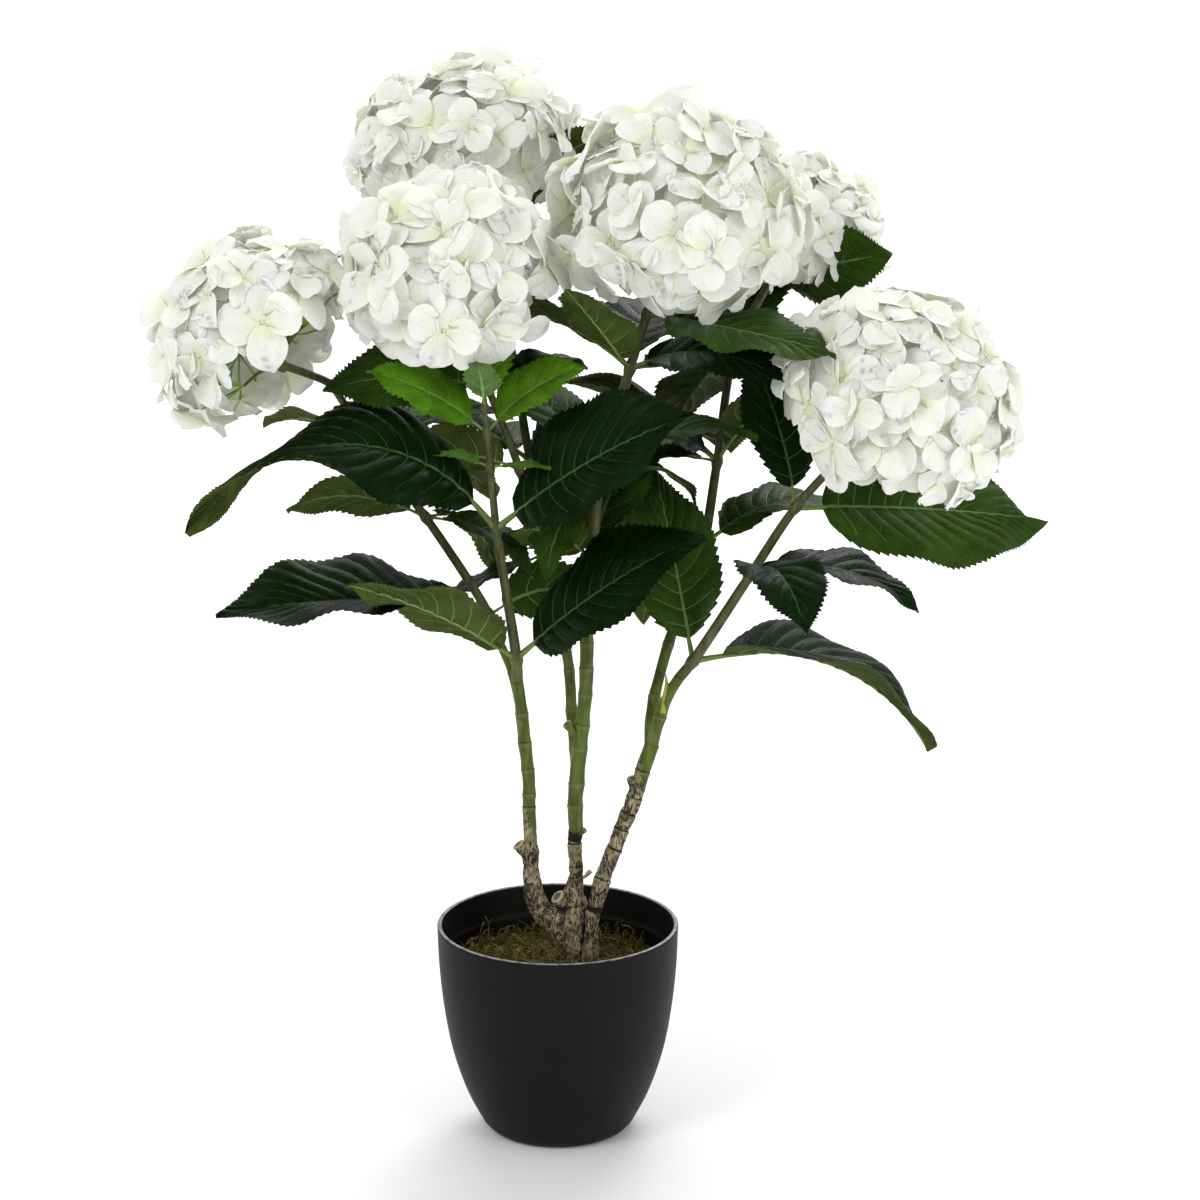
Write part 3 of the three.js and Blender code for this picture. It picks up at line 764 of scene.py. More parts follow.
def scatter_tree(name, materials):
    """Shapes picked at random, stood on points and turned to face along each point's `facing`.

    Faces take the material that their `zone` numbers.
    """
    tree = bpy.data.node_groups.new(name, "GeometryNodeTree")
    board = Board(tree)
    fields = {}
    for label, kind in (
        ("Points", "Geometry"), ("Shapes", "Collection"), ("Scale", "Float"), ("Scale Spread", "Float"),
        ("Tilt", "Float"), ("Seed", "Int"),
    ):
        field = tree.interface.new_socket(label, in_out="INPUT", socket_type="NodeSocket" + kind)
        fields[label] = field.identifier
    tree.interface.new_socket("Geometry", in_out="OUTPUT", socket_type="NodeSocketGeometry")
    given = {socket.name: Signal(board, socket) for socket in board.node("NodeGroupInput").outputs}

    def draw(low, high, offset):
        sockets = {"Min_001": low, "Max_001": high, "Seed": given["Seed"] + float(offset)}
        return board.signal("FunctionNodeRandomValue", 1, {"data_type": "FLOAT"}, sockets)

    def named(attribute, kind):
        return board.signal("GeometryNodeInputNamedAttribute", 0, {"data_type": kind}, {"Name": attribute})

    sockets = {"Collection": given["Shapes"], "Separate Children": True, "Reset Children": True}
    shapes = board.signal("GeometryNodeCollectionInfo", "Instances", None, sockets)
    sockets = {"Vector": named("facing", "FLOAT_VECTOR")}
    upright = board.signal("FunctionNodeAlignRotationToVector", 0, {"axis": "Z"}, sockets)
    tilt = given["Tilt"]
    sockets = {0: tilt * draw(-1.0, 1.0, 1), 1: tilt * draw(-1.0, 1.0, 2), 2: draw(0.0, tau, 3)}
    sockets = {"Rotation": upright, "Rotate By": board.signal("ShaderNodeCombineXYZ", 0, None, sockets)}
    posed = board.signal("FunctionNodeRotateRotation", 0, {"rotation_space": "LOCAL"}, sockets)
    size = given["Scale"] * (1.0 + given["Scale Spread"] * draw(-1.0, 1.0, 4))
    sockets = {"Points": given["Points"], "Instance": shapes, "Pick Instance": True}
    sockets |= {"Rotation": posed, "Scale": size}
    stood = board.signal("GeometryNodeInstanceOnPoints", "Instances", None, sockets)
    shaped = board.signal("GeometryNodeRealizeInstances", "Geometry", None, {"Geometry": stood})
    zone = named("zone", "INT")
    for number, material in enumerate(materials):
        sockets = {"A_INT": zone, "B_INT": number}
        chosen = board.signal("FunctionNodeCompare", 0, {"data_type": "INT", "operation": "EQUAL"}, sockets)
        sockets = {"Geometry": shaped, "Selection": chosen, "Material": material}
        shaped = board.signal("GeometryNodeSetMaterial", "Geometry", None, sockets)
    board.feed(board.node("NodeGroupOutput").inputs[0], shaped)
    return tree, fields


def scatter(name, scatterer, points, facings, inputs):
    """Run a scattering tree on points in millimetres and keep its plain mesh."""
    tree, fields = scatterer
    carrier = bpy.data.meshes.new(name + "_points")
    carrier.from_pydata(np.asarray(points) * MM, [], [])
    facing = carrier.attributes.new("facing", "FLOAT_VECTOR", "POINT")
    facing.data.foreach_set("vector", np.asarray(facings, float).ravel())
    holder = bpy.data.objects.new(name + "_points", carrier)
    bpy.context.scene.collection.objects.link(holder)
    modifier = holder.modifiers.new("Scatter", "NODES")
    modifier.node_group = tree
    for label, value in inputs.items():
        modifier[fields[label]] = value
    return keep_shape(holder, name)


def shape_store(name, meshes):
    """A collection with one object for each mesh."""
    store = bpy.data.collections.new(name)
    for mesh in meshes:
        store.objects.link(bpy.data.objects.new(mesh.name, mesh))
    return store


def empty_store(store):
    for thing in list(store.objects):
        bpy.data.objects.remove(thing)
    bpy.data.collections.remove(store)


def zoned(mesh, zones):
    mesh.attributes.new("zone", "INT", "FACE").data.foreach_set("value", zones)
    return mesh


# ---- thin shells ----


def thin_shell(top, bottom, faces, loop):
    """Points and faces of a closed shell. The loop is its top outline, anticlockwise seen from above."""
    count = len(top)
    points = np.vstack([top, bottom])
    below = [[index + count for index in reversed(face)] for face in faces]
    rim = [[a, a + count, b + count, b] for a, b in zip(loop, loop[1:] + loop[:1])]
    return points, [list(face) for face in faces] + below + rim


def blade_half(b):
    """Half width of a blade at a share b of its length, as a share of its greatest half width."""
    return 2.42 * np.power(b, 0.62) * (1 - b) * (1 + 0.55 * b) * (1 - 0.35 * b**6)


def blade_frame(shape, start, b):
    """Points, side directions and normals along a blade's middle line, at the shares b of its length."""
    b = np.asarray(b, float)
    lift, droop, azimuth = (radians(shape[name]) for name in ("lift", "droop", "azimuth"))
    rise = lift - droop * b
    turn = (radians(shape["roll"]) + radians(shape["twist"]) * b**2)[..., None]
    out = np.array([cos(azimuth), sin(azimuth), 0.0])
    level = np.array([-sin(azimuth), cos(azimuth), 0.0])
    up = np.array([0.0, 0.0, 1.0])
    ahead = (shape["long"] * (sin(lift) - np.sin(rise)) / droop)[..., None]
    above = (shape["long"] * (np.cos(rise) - cos(lift)) / droop)[..., None]
    upright = np.cos(rise)[..., None] * up - np.sin(rise)[..., None] * out
    side = np.cos(turn) * level + np.sin(turn) * upright
    normal = np.cos(turn) * upright - np.sin(turn) * level
    return start + ahead * out + above * up, side, normal


def petiole_end(shape, root):
    lift, azimuth = radians(shape["lift"]), radians(shape["azimuth"])
    ahead = np.array([cos(azimuth) * cos(lift), sin(azimuth) * cos(lift), sin(lift)])
    return np.asarray(root, float) + shape["petiole"] * ahead


# Blade detail in millimetres, and as shares of a blade's length.
VEIN_FORWARD = 0.27  # how far a side vein runs forward on its way to the edge
VEIN_BREADTH = 0.7
VEIN_PITCH = 13.5
VEIN_COUNTS = (5, 13)
VEIN_HEIGHT = 0.4
MIDRIB_HEIGHT = 1.0
WAVE_HEIGHT = 0.022
TOOTH_PITCH = 3.1
TOOTH_REACH = 2.6
COLUMN_SHARES = (0.14, 0.3, 0.46, 0.62, 0.78, 0.91, 1.0)


def blade_rows(long):
    """Rows of a blade between and beside its side veins.

    Gives each row's place along the midrib, how far it stands off the vein beside it, how far it bulges, and
    for each gap after a row whether a vein fills it.
    """
    veins = int(np.clip(round(long / VEIN_PITCH), *VEIN_COUNTS))
    beside = 0.5 * VEIN_BREADTH / long
    centres = np.linspace(0.07, 0.8, veins)
    bounds = np.concatenate([[0.012], centres, [0.985]])
    rows, offsets, bulge, is_vein = [], [], [], []
    for k, (start, stop) in enumerate(zip(bounds, bounds[1:])):
        parts = max(2, round((stop - start) * long / TOOTH_PITCH))
        share = np.linspace(0, 1, parts + 1)
        rows.extend(start + (stop - start) * share)
        offsets.extend([beside * (k > 0)] + [0.0] * (parts - 1) + [-beside * (k < veins)])
        bulge.extend(np.sin(pi * share) ** 0.7)
        is_vein.extend([False] * parts + [True])
    return np.array(rows), np.array(offsets), np.array(bulge), is_vein[:-1]


def leaf_blade(shape, start, random):
    """A toothed, quilted blade as a closed shell. Slots: 0 top, 1 back, 2 top vein and 3 back vein."""
    long = shape["long"]
    rows, offsets, bulge, is_vein = blade_rows(long)
    edge_b = rows + VEIN_FORWARD * np.sin(pi * rows)
    half = blade_half(edge_b) * long * LEAF_WIDTH / 2 * shape["wide"]
    rib = np.clip((0.4 + 0.8 * (1 - rows)) / half, 0.015, 0.12)
    columns = [np.zeros((len(rows), 1)), rib[:, None], np.tile(COLUMN_SHARES, (len(rows), 1))]
    share = np.concatenate(columns, axis=1)
    fold = BLADE_FOLD + radians(random.uniform(-6, 14))
    sway = random.uniform(-0.05, 0.05) * long
    swing = random.uniform(1.6, 3.2)
    curl = random.uniform(-0.02, 0.035) * long
    quilt_height = random.uniform(0.010, 0.016) * long
    b = rows[:, None] + VEIN_FORWARD * np.sin(pi * rows)[:, None] * share**1.5
    b = np.clip(b + offsets[:, None] * (1 - 0.6 * share), 0, 1)
    halves = []
    for way in (-1, 1):
        phase = random.uniform(0, tau)
        out = share * half[:, None]
        across = np.clip(4 * share * (1 - share), 0, 1) ** 0.5
        quilt = quilt_height * bulge[:, None] * (0.8 * across + 0.2 * share)
        wave = WAVE_HEIGHT * long * share**2 * np.sin(tau * swing * b + phase)
        flatter = fold * (1 - 0.5 * share)
        lift = out * np.sin(flatter) + quilt + wave - curl * share**3
        point, side, normal = blade_frame(shape, start, b)
        aside = way * out * np.cos(flatter) + sway * b**2
        halves.append((point + side * aside[..., None] + normal * lift[..., None], normal, side * way))
    columns = share.shape[1]
    width = 2 * columns - 1
    order = [slice(None, 0, -1), slice(None)]
    top, normal, away = (
        np.concatenate([halves[0][k][:, order[0]], halves[1][k][:, order[1]]], axis=1) for k in range(3)
    )
    whole = np.concatenate([share[:, :0:-1], share], axis=1)
    veined = np.array([a or b for a, b in zip([False] + is_vein, is_vein + [False])])
    thick = sizes().leaf_thickness / MM * np.ones_like(whole)
    thick += VEIN_HEIGHT * veined[:, None] * (whole < 0.85)
    thick += MIDRIB_HEIGHT * (1 - rows[:, None]) * (whole <= rib[:, None] + 1e-6)
    count = len(rows)
    points = [top.reshape(-1, 3)]
    under = [(top - normal * thick[..., None]).reshape(-1, 3)]
    faces, slots = [], []
    middle = columns - 1
    for i in range(count - 1):
        for j in range(width - 1):
            at = i * width + j
            faces.append([at, at + width, at + width + 1, at + 1])
            on_rib = j in (middle - 1, middle)
            on_vein = is_vein[i] and max(whole[i, j], whole[i, j + 1]) < 0.8
            slots.append(2 if on_rib or on_vein else 0)
    extra = count * width
    ends = []
    for end in (0.0, 1.0):
        point, side, face_normal = blade_frame(shape, start, np.array([end]))
        point = point + side * sway * end
        points.append(point)
        under.append(point - face_normal * thick[0, 0])
        ends.append(extra)
        extra += 1
    for j in range(width - 1):
        last = (count - 1) * width + j
        faces.append([ends[0], j, j + 1])
        faces.append([last, ends[1], last + 1])
        slots.extend([0, 0])
    loop = [ends[0]]
    teeth_top, teeth_under = [], []
    edges = {0: range(count - 1), width - 1: range(count - 2, -1, -1)}
    for column, steps in edges.items():
        forward = column == 0
        if not forward:
            loop.append(ends[1])
        for i in steps:
            near, far = i * width + column, (i + 1) * width + column
            first, second = (near, far) if forward else (far, near)
            loop.append(first)
            if is_vein[i]:
                continue
            reach = TOOTH_REACH * min(1.0, half[i] / (0.1 * long)) * random.uniform(0.7, 1.2)
            tip = 0.2 * top[i, column] + 0.8 * top[i + 1, column] + away[i, column] * reach
            teeth_top.append(tip)
            teeth_under.append(tip - normal[i, column] * thick[i, column] * 0.6)
            faces.append([first, extra, second])
            slots.append(0)
            loop.append(extra)
            extra += 1
        loop.append((count - 1) * width + column if forward else column)
    points.append(np.array(teeth_top))
    under.append(np.array(teeth_under))
    found, all_faces = thin_shell(np.vstack(points), np.vstack(under), faces, loop)
    all_slots = slots + [slot + 1 for slot in slots] + [0] * len(loop)
    return found, all_faces, all_slots


# ---- pieces ----


RIM_ROUNDING, LIP_ROUNDING = 1.3, 0.9
POT_LEDGE = [(75.95, 120.6), (75.5, 120.2), (75.45, 119.4)]
POT_FLOOR = [(40.0, 4.0), (0.0, 3.5)]


def pot_outline():
    """The pot's profile from the middle of its underside, round the rim and to the middle of its inside."""
    curve, _ = smooth_path([(0.0, radius, height) for height, radius in POT_PROFILE], 3.0)
    wall = [(radius, height) for _, radius, height in curve]
    radius, height = wall[-1]
    quarter = np.linspace(0, pi / 2, 5)
    outer, inner = radius - RIM_ROUNDING, radius - POT_WALL + LIP_ROUNDING
    rim = [(outer + RIM_ROUNDING * cos(a), height - RIM_ROUNDING + RIM_ROUNDING * sin(a)) for a in quarter]
    rim += [(inner - LIP_ROUNDING * sin(a), height - LIP_ROUNDING + LIP_ROUNDING * cos(a)) for a in quarter]
    lining = [(r - POT_WALL, z) for r, z in wall[::-1] if z < height - 2]
    inside = [(r, z) for r, z in lining if z > 121] + POT_LEDGE
    inside += [(r - 0.25, z) for r, z in lining if 8 < z < 118] + POT_FLOOR
    return POT_FOOT + wall[:-1], rim, inside


def turned(outline, segments):
    """Points and faces of a turned shape whose outline starts and ends on the axis."""
    angles = around_circle(segments)
    body = np.array(outline[1:-1])
    x, y = np.outer(body[:, 0], np.cos(angles)), np.outer(body[:, 0], np.sin(angles))
    points = np.stack([x, y, np.repeat(body[:, 1:], segments, axis=1)], axis=-1).reshape(-1, 3)
    faces = [face for face in tube_faces(len(body), segments) if len(face) == 4]
    first, last = len(points), len(points) + 1
    points = np.vstack([points, [(0, 0, outline[0][1]), (0, 0, outline[-1][1])]])
    ring = (len(body) - 1) * segments
    caps = []
    for k in range(segments):
        after = (k + 1) % segments
        caps.append([first, after, k])
        caps.append([ring + k, ring + after, last])
    return points, faces + caps


def build_pot():
    outside, rim, inside = pot_outline()
    segments = sizes().pot_segments
    points, faces = turned(outside + rim + inside, segments)
    sheaf = Sheaf()
    first = (len(outside) + 1) * segments
    last = (len(outside) + len(rim) - 3) * segments
    # Slot 1 gives the rounded rim its lighter grey, partly dust and partly painted highlight.
    slots = [1 if first <= min(face) < last and len(face) == 4 else 0 for face in faces]
    sheaf.add(points, faces, slots)
    mesh = sheaf.mesh("planter", [pot_plastic(), pot_rim()])
    flat_sharp(mesh, 50)
    show(mesh, "pot", "pot")


def mossy_height(x, y):
    """Height of the moss at a place."""
    reach = (x * x + y * y) ** 0.5 / 75.0
    rough = noise.fractal(Vector((x * 0.055, y * 0.055, 3.0)), 0.9, 2.1, 4)
    clumps = noise.noise(Vector((x * 0.16, y * 0.16, 8.0)))
    return MOSS_EDGE + MOSS_CROWN * (1 - reach**2.5) + 1.8 * rough + 1.1 * clumps


def build_moss_bed():
    around, across = 150, 42
    radii = MOSS_RADIUS * np.linspace(0, 1, across)[1:] ** 0.75
    angles = around_circle(around)
    top = [(r * cos(a), r * sin(a), mossy_height(r * cos(a), r * sin(a))) for r in radii for a in angles]
    foot = MOSS_EDGE - MOSS_DEPTH
    wall = [(MOSS_RADIUS * cos(a), MOSS_RADIUS * sin(a), foot) for a in angles]
    points = top + wall + [(0, 0, mossy_height(0, 0)), (0, 0, foot)]
    faces = [face[::-1] for face in tube_faces(across, around) if len(face) == 4]
    ring, middle, under = (across - 1) * around, len(points) - 2, len(points) - 1
    for k in range(around):
        after = (k + 1) % around
        faces += [[middle, k, after], [under, ring + after, ring + k]]
    sheaf = Sheaf()
    sheaf.add(points, faces)
    show(sheaf.mesh("moss_bed", [moss_ground()]), "moss", "moss_plug")


def strand_shape(name, zone, long, random):
    """A thin curved strand that starts at the origin and runs up."""
    bend = random.uniform(-0.5, 0.5, (3, 2)) * long
    shares = ((0.3, 0.35), (0.6, 0.7), (1.0, 0.85))
    path = [(0, 0, -0.6)] + [(*(out * off), up * long) for off, (out, up) in zip(bend, shares)]
    fine, _ = smooth_path(path, long / 4)
    sheaf = Sheaf()
    sheaf.tube(fine, np.linspace(0.42, 0.14, len(fine)), 3)
    mesh = sheaf.mesh(name, [])
    return zoned(mesh, [zone] * len(mesh.polygons))


STRAND_REACH = 70
TRUNK_FOOT = (12, 8)  # the trunk's place along X and its radius, where no strand stands


def build_moss_strands():
    random = draws(40)
    strands = ((5, 0), (6, 1), (7, 2), (8, 0), (9, 1), (11, 2), (13, 0), (17, 1))
    shapes = [strand_shape(f"strand_{k}", zone, long, random) for k, (long, zone) in enumerate(strands)]
    store = shape_store("strand_shapes", shapes)
    materials = [
        moss_strand("moss_olive", (0.04, 0.036, 0.003), (0.17, 0.148, 0.016)),
        moss_strand("moss_straw", (0.045, 0.028, 0.005), (0.25, 0.19, 0.045)),
        moss_strand("moss_green", (0.022, 0.04, 0.003), (0.10, 0.15, 0.012)),
    ]
    scatterer = scatter_tree("Scattered moss", materials)
    count = sizes().moss_strands
    reach = STRAND_REACH * np.sqrt(random.uniform(0, 1, count))
    angle = random.uniform(0, tau, count)
    x, y = reach * np.cos(angle), reach * np.sin(angle)
    clear = (x - TRUNK_FOOT[0]) ** 2 + y**2 >= TRUNK_FOOT[1] ** 2
    x, y = x[clear], y[clear]
    points = [(a, b, mossy_height(a, b)) for a, b in zip(x, y)]
    lean = random.uniform(0, tau, len(points))
    stand = random.uniform(0.05, 0.75, len(points)) ** 1.5
    facings = np.stack([np.cos(lean), np.sin(lean), stand], axis=1)
    inward = np.clip(np.hypot(x, y) / STRAND_REACH, 0, 1)[:, None] ** 4
    facings[:, :2] = facings[:, :2] * (1 - 0.8 * inward) - np.stack([x, y], axis=1) / 75 * inward
    facings[:, 2:] += 0.9 * inward
    inputs = {"Shapes": store, "Scale": 1.0, "Scale Spread": 0.3, "Tilt": 0.35, "Seed": sizes().seed}
    mesh = scatter("moss_strands", scatterer, points, unit(facings), inputs)
    empty_store(store)
    show(mesh, "moss")


def painted_crease_shade(places):
    """1 where two limbs of the trunk meet in a crease and 0 away from it. The bark is painted near black
    there as shade.
    """
    limbs = [TRUNK_LIMBS[0], (SAWN_STUBS[0][0], [SAWN_STUBS[0][1]] * 2)]
    limbs.append((CANES["right_cane"]["path"][:5], [5.6, 5.3, 5.0, 4.9, 5.2]))
    gaps = []
    for path, radii in limbs:
        fine, at = smooth_path(path, 1.5)
        thick = np.interp(at, np.linspace(0, at[-1], len(radii)), radii)
        reach = np.linalg.norm(places[:, None, :] / MM - fine[None, :, :], axis=2)
        gaps.append((reach - thick).min(axis=1))
    gaps = np.sort(np.array(gaps), axis=0)
    low = np.clip((168 - places[:, 2] / MM) / 4, 0, 1)
    return low * np.clip(1.15 - np.abs(gaps[1]) / 1.6, 0, 1) * np.clip(1.6 - np.abs(gaps[0]) / 1.2, 0, 1)


# The trunk's relief in metres, the size of the cells that melt it together, and the depth of a sawn face.
FIBRES, WRINKLES, LUMPS = 0.0004, 0.0008, 0.0012
TRUNK_CELL = 0.75 * MM
CUT_DEPTH = 0.0012


def build_trunk():
    """Tubes melted together, then given relief by moving every point along its normal."""
    sheaf = Sheaf()
    for path, radii in TRUNK_LIMBS:
        fine, at = smooth_path(path, 2.0)
        marks = np.linspace(0, at[-1], len(radii))
        sheaf.tube(fine, np.interp(at, marks, radii), 24)
    steps = np.linspace(0, 1, 9)
    for (foot, cut), radius in SAWN_STUBS:
        path = np.array(foot, float) + np.subtract(cut, foot) * steps[:, None]
        sheaf.tube(path, radius * (0.82 + 0.2 * steps**3), 20)
    fine, at = smooth_path(PEG[0], 1.0)
    sheaf.tube(fine, np.interp(at, np.linspace(0, at[-1], 3), PEG[1]), 12)
    rough = bpy.data.objects.new("trunk_blank", sheaf.mesh("trunk_blank", []))
    bpy.context.scene.collection.objects.link(rough)
    melt = rough.modifiers.new("Melt", "REMESH")
    melt.mode = "VOXEL"
    melt.voxel_size = TRUNK_CELL
    soften = rough.modifiers.new("Soften", "SMOOTH")
    soften.iterations = 4
    mesh = keep_shape(rough, "trunk_wood")
    places, normals = fetched(mesh.vertices, "co"), fetched(mesh.vertex_normals, "vector")
    cuts = [(np.array(cut) * MM, unit(np.subtract(cut, foot)), r) for (foot, cut), r in SAWN_STUBS]
    ring = np.min([np.linalg.norm(places - cut, axis=1) / (radius * MM) for cut, _, radius in cuts], axis=0)
    moves = np.zeros(len(places))
    for i, place in enumerate(places):
        if ring[i] < 1.3 and any(abs((place - cut).dot(ahead)) < CUT_DEPTH for cut, ahead, _ in cuts):
            moves[i] = -0.0006 * max(0.0, 1 - ring[i] / 0.7)
            continue
        drawn = Vector((place[0], place[1], place[2] * 0.5))
        fibres = noise.noise(drawn * 520)
        wrinkles = 1 - abs(noise.noise(drawn * 260 + Vector((5, 1, 2)))) * 3.2
        lumps = noise.noise(Vector(place) * 90)
        moves[i] = FIBRES * fibres - WRINKLES * max(0.0, wrinkles) + LUMPS * lumps
    places += normals * moves[:, None]
    mesh.vertices.foreach_set("co", places.ravel())
    mesh.materials.clear()
    mesh.materials.append(trunk_bark())
    mesh.materials.append(cut_wood())
    centres = fetched(mesh.polygons, "center")
    on_cut = np.zeros(len(centres), bool)
    for cut, ahead, radius in cuts:
        gap = centres - cut
        on_cut |= (np.abs(gap @ ahead) < 0.0013) & (np.linalg.norm(gap, axis=1) < radius * MM)
    along_peg = np.linspace(*PEG[0][::2], 12)[None, :, :]
    off_peg = np.linalg.norm(centres[:, None, :] / MM - along_peg, axis=2).min(axis=1)
    on_cut |= (off_peg < 3.4) & (centres[:, 0] > 0.0165)
    mesh.polygons.foreach_set("material_index", on_cut.astype(int))
    mesh.polygons.foreach_set("use_smooth", [True] * len(mesh.polygons))
    mark(mesh, "ring", ring)
    # How much painted shade each point takes, where limbs meet in a crease.
    mark(mesh, "crevice", painted_crease_shade(places))
    mesh.update()
    show(mesh, "bark", "trunk")


# A cane's joints in millimetres: groove, the pale ledge under it, and the swelling below and above it.
GROOVE_HALF, GROOVE_DEPTH = 0.65, 0.75
LEDGE_DROP, LEDGE_HALF = 1.6, 1.2
SWELL_BELOW, SWELL_ABOVE, SWELL_HEIGHT = 4.0, 1.2, 0.85
JOINT_LEAN = 0.75
CANE_SIDES = 18


def knobbly(number, angle, height, woody):
    """How far a cane's skin stands out at an angle and a height, more so where it's bark."""
    x, y = cos(angle), sin(angle)
    broad = noise.noise(Vector((x * 1.6 + number, y * 1.6, height * 0.09)))
    return broad + 0.6 * woody * noise.noise(Vector((x * 5, y * 5 + number, height * 0.3)))


def build_canes():
    """Jointed canes: each length of cane leans a little from the last and swells to its joint."""
    sheaf = Sheaf()
    angles = around_circle(CANE_SIDES)
    for number, cane in enumerate(CANES.values()):
        path, _ = smooth_path(cane["path"], 0.7)
        height = path[:, 2].copy()
        radii = np.interp(height, *zip(*cane["radii"]))
        random = draws(60 + number)
        groove, ledge, swell = (np.zeros(len(path)) for _ in range(3))
        for joint in cane["joints"]:
            gap = height - joint
            groove = np.maximum(groove, random.uniform(0.8, 1.15) * np.exp(-((gap / GROOVE_HALF) ** 2)))
            ledge = np.maximum(ledge, np.exp(-(((gap + LEDGE_DROP) / LEDGE_HALF) ** 2)))
            bulge = np.where(gap <= 0, np.exp(gap / SWELL_BELOW), np.exp(-gap / SWELL_ABOVE))
            swell = np.maximum(swell, bulge)
        ends = np.array([height[0], *cane["joints"], height[-1]])
        lean = random.uniform(-JOINT_LEAN, JOINT_LEAN, (len(ends), 2))
        lean[0] = lean[-1] = 0
        for axis in (0, 1):
            path[:, axis] += np.interp(height, ends, lean[:, axis])
        middle, width = cane["bark"]
        woody = 1 / (1 + np.exp((height - middle) / width))
        side = np.exp(-(((height - middle) / (2.2 * width)) ** 2))[:, None]
        radii = radii - 0.3 + SWELL_HEIGHT * swell - GROOVE_DEPTH * groove
        for band, reach in cane["black"]:
            groove = np.maximum(groove, np.clip(1.6 - np.abs(height - band) / reach, 0, 1.2))
        found = rings(path, radii, CANE_SIDES)
        centre = path[:, None, :]
        out = unit(found - centre)
        rough = [[knobbly(number, a, z, share) for a in angles] for z, share in zip(height, woody)]
        found = found + out * (np.array(rough) * (0.35 + 0.7 * woody[:, None]))[..., None]
        spread = {
            "woody": (woody[:, None] + 0.4 * side * np.cos(angles - pi * (number + 1))).ravel(),
            "ledge": np.repeat(ledge, CANE_SIDES),
            "groove": np.repeat(groove * (0.5 + 0.5 * woody), CANE_SIDES),
            "ring": 1.0,
        }
        sheaf.add(found, tube_faces(len(found), CANE_SIDES), 0, **spread)
    for foot, cut, radius, woody in CANE_STUBS:
        add_stub(sheaf, np.array(foot, float), np.array(cut, float), radius, woody)
    path, at = smooth_path(BUD[0], 1.2)
    thick = np.interp(at / at[-1], *zip(*BUD[1]))
    sheaf.tube(path, thick, 12, 2, woody=at * 0, ledge=at * 0, groove=at * 0, ring=at * 0)
    finishes = [cane_skin(), cut_wood(), vein_skin("bud", (0.36, 0.36, 0.04), 0.45)]
    show(sheaf.mesh("jointed_canes", finishes), "cane", *CANES)


def add_stub(sheaf, foot, cut, radius, woody):
    """A sawn side shoot that flares to its cut, which is hollowed a little."""
    ahead = unit(cut - foot)
    long = np.linalg.norm(cut - foot)
    profile = [
        (0, 0.78), (0.3, 0.76), (0.6, 0.84), (0.85, 0.98), (0.96, 1.02), (1, 0.97), (1, 0.86), (0.97, 0.66),
        (0.94, 0.3), (0.935, 0.05),
    ]
    path = np.array([foot + ahead * long * along for along, _ in profile])
    across = unit(np.cross(ahead, (0.1, 1.0, 0.1)))
    other = np.cross(ahead, across)
    sides = 16
    angle = around_circle(sides)
    circle = np.outer(np.cos(angle), across) + np.outer(np.sin(angle), other)
    found = np.array([centre + radius * wide * circle for centre, (_, wide) in zip(path, profile)])
    faces = tube_faces(len(found), sides)
    on_cut = [int(5 * sides <= i < 9 * sides) for i in range(len(faces) - 2)]
    ring = np.repeat([1.0] * 6 + [wide for _, wide in profile[6:]], sides)
    sheaf.add(found, faces, on_cut + [0, 1], woody=woody, ledge=0.0, groove=0.0, ring=ring)


def hub_of(bloom):
    axis = unit(np.array(bloom["axis"], float))
    return np.array(bloom["centre"], float) - HUB_DROP * bloom["along"] * axis, axis


def build_stems():
    """The shoots' stems, swollen where leaves stand, and each bloom's stalk on to its hub."""
    sheaf = Sheaf()
    for shoot in SHOOTS.values():
        points = [np.array(p, float) for p in shoot["path"]]
        if "bloom" in shoot:
            hub, _ = hub_of(shoot["bloom"])
            ahead = unit(points[-1] - points[-2])
            points = points + [points[-1] + 6 * ahead, hub]
        path, at = smooth_path(points, 1.6)
        _, stem_at = smooth_path(shoot["path"], 1.6)
        radii = np.interp(at, [0, stem_at[-1]], shoot["radii"])
        for at_point in sorted({leaves[0]["at"] for leaves in shoot["pairs"]}):
            gap = np.linalg.norm(path - np.array(shoot["path"][at_point], float), axis=1)
            radii = radii + 1.0 * np.exp(-((gap / 3.2) ** 2)) - 0.25 * np.exp(-((gap - 5.5) ** 2))
        sheaf.tube(path, radii, 12)
    show(sheaf.mesh("shoot_stems", [stem_skin()]), "cane")


def leaf_finishes():
    tints = colours()
    vein_pale = (0.17, 0.23, 0.075)
    return {
        "d": [
            blade_skin("leaf_dark", tints.leaf_dark, 0.32, coat=0.065),
            blade_skin("leaf_dark_back", tints.leaf_back, 0.5, (0.7, 1.15)),
            vein_skin("leaf_dark_vein", (0.035, 0.1, 0.022), 0.35),
            vein_skin("leaf_dark_back_vein", vein_pale, 0.5),
        ],
        "m": [
            blade_skin("leaf_middle", tints.leaf_middle, 0.34, coat=0.04),
            blade_skin("leaf_middle_back", rgba(tints.leaf_back, 1.1)[:3], 0.5, (0.75, 1.2)),
            vein_skin("leaf_middle_vein", (0.12, 0.22, 0.06), 0.38),
            vein_skin("leaf_middle_back_vein", (0.2, 0.26, 0.09), 0.5),
        ],
        "y": [
            blade_skin("leaf_young", tints.leaf_young, 0.36, lines=0.12),
            blade_skin("leaf_young_back", (0.11, 0.20, 0.06), 0.5, lines=0.15),
            vein_skin("leaf_young_vein", (0.13, 0.27, 0.05), 0.4),
            vein_skin("leaf_young_back_vein", (0.2, 0.36, 0.1), 0.5),
        ],
    }


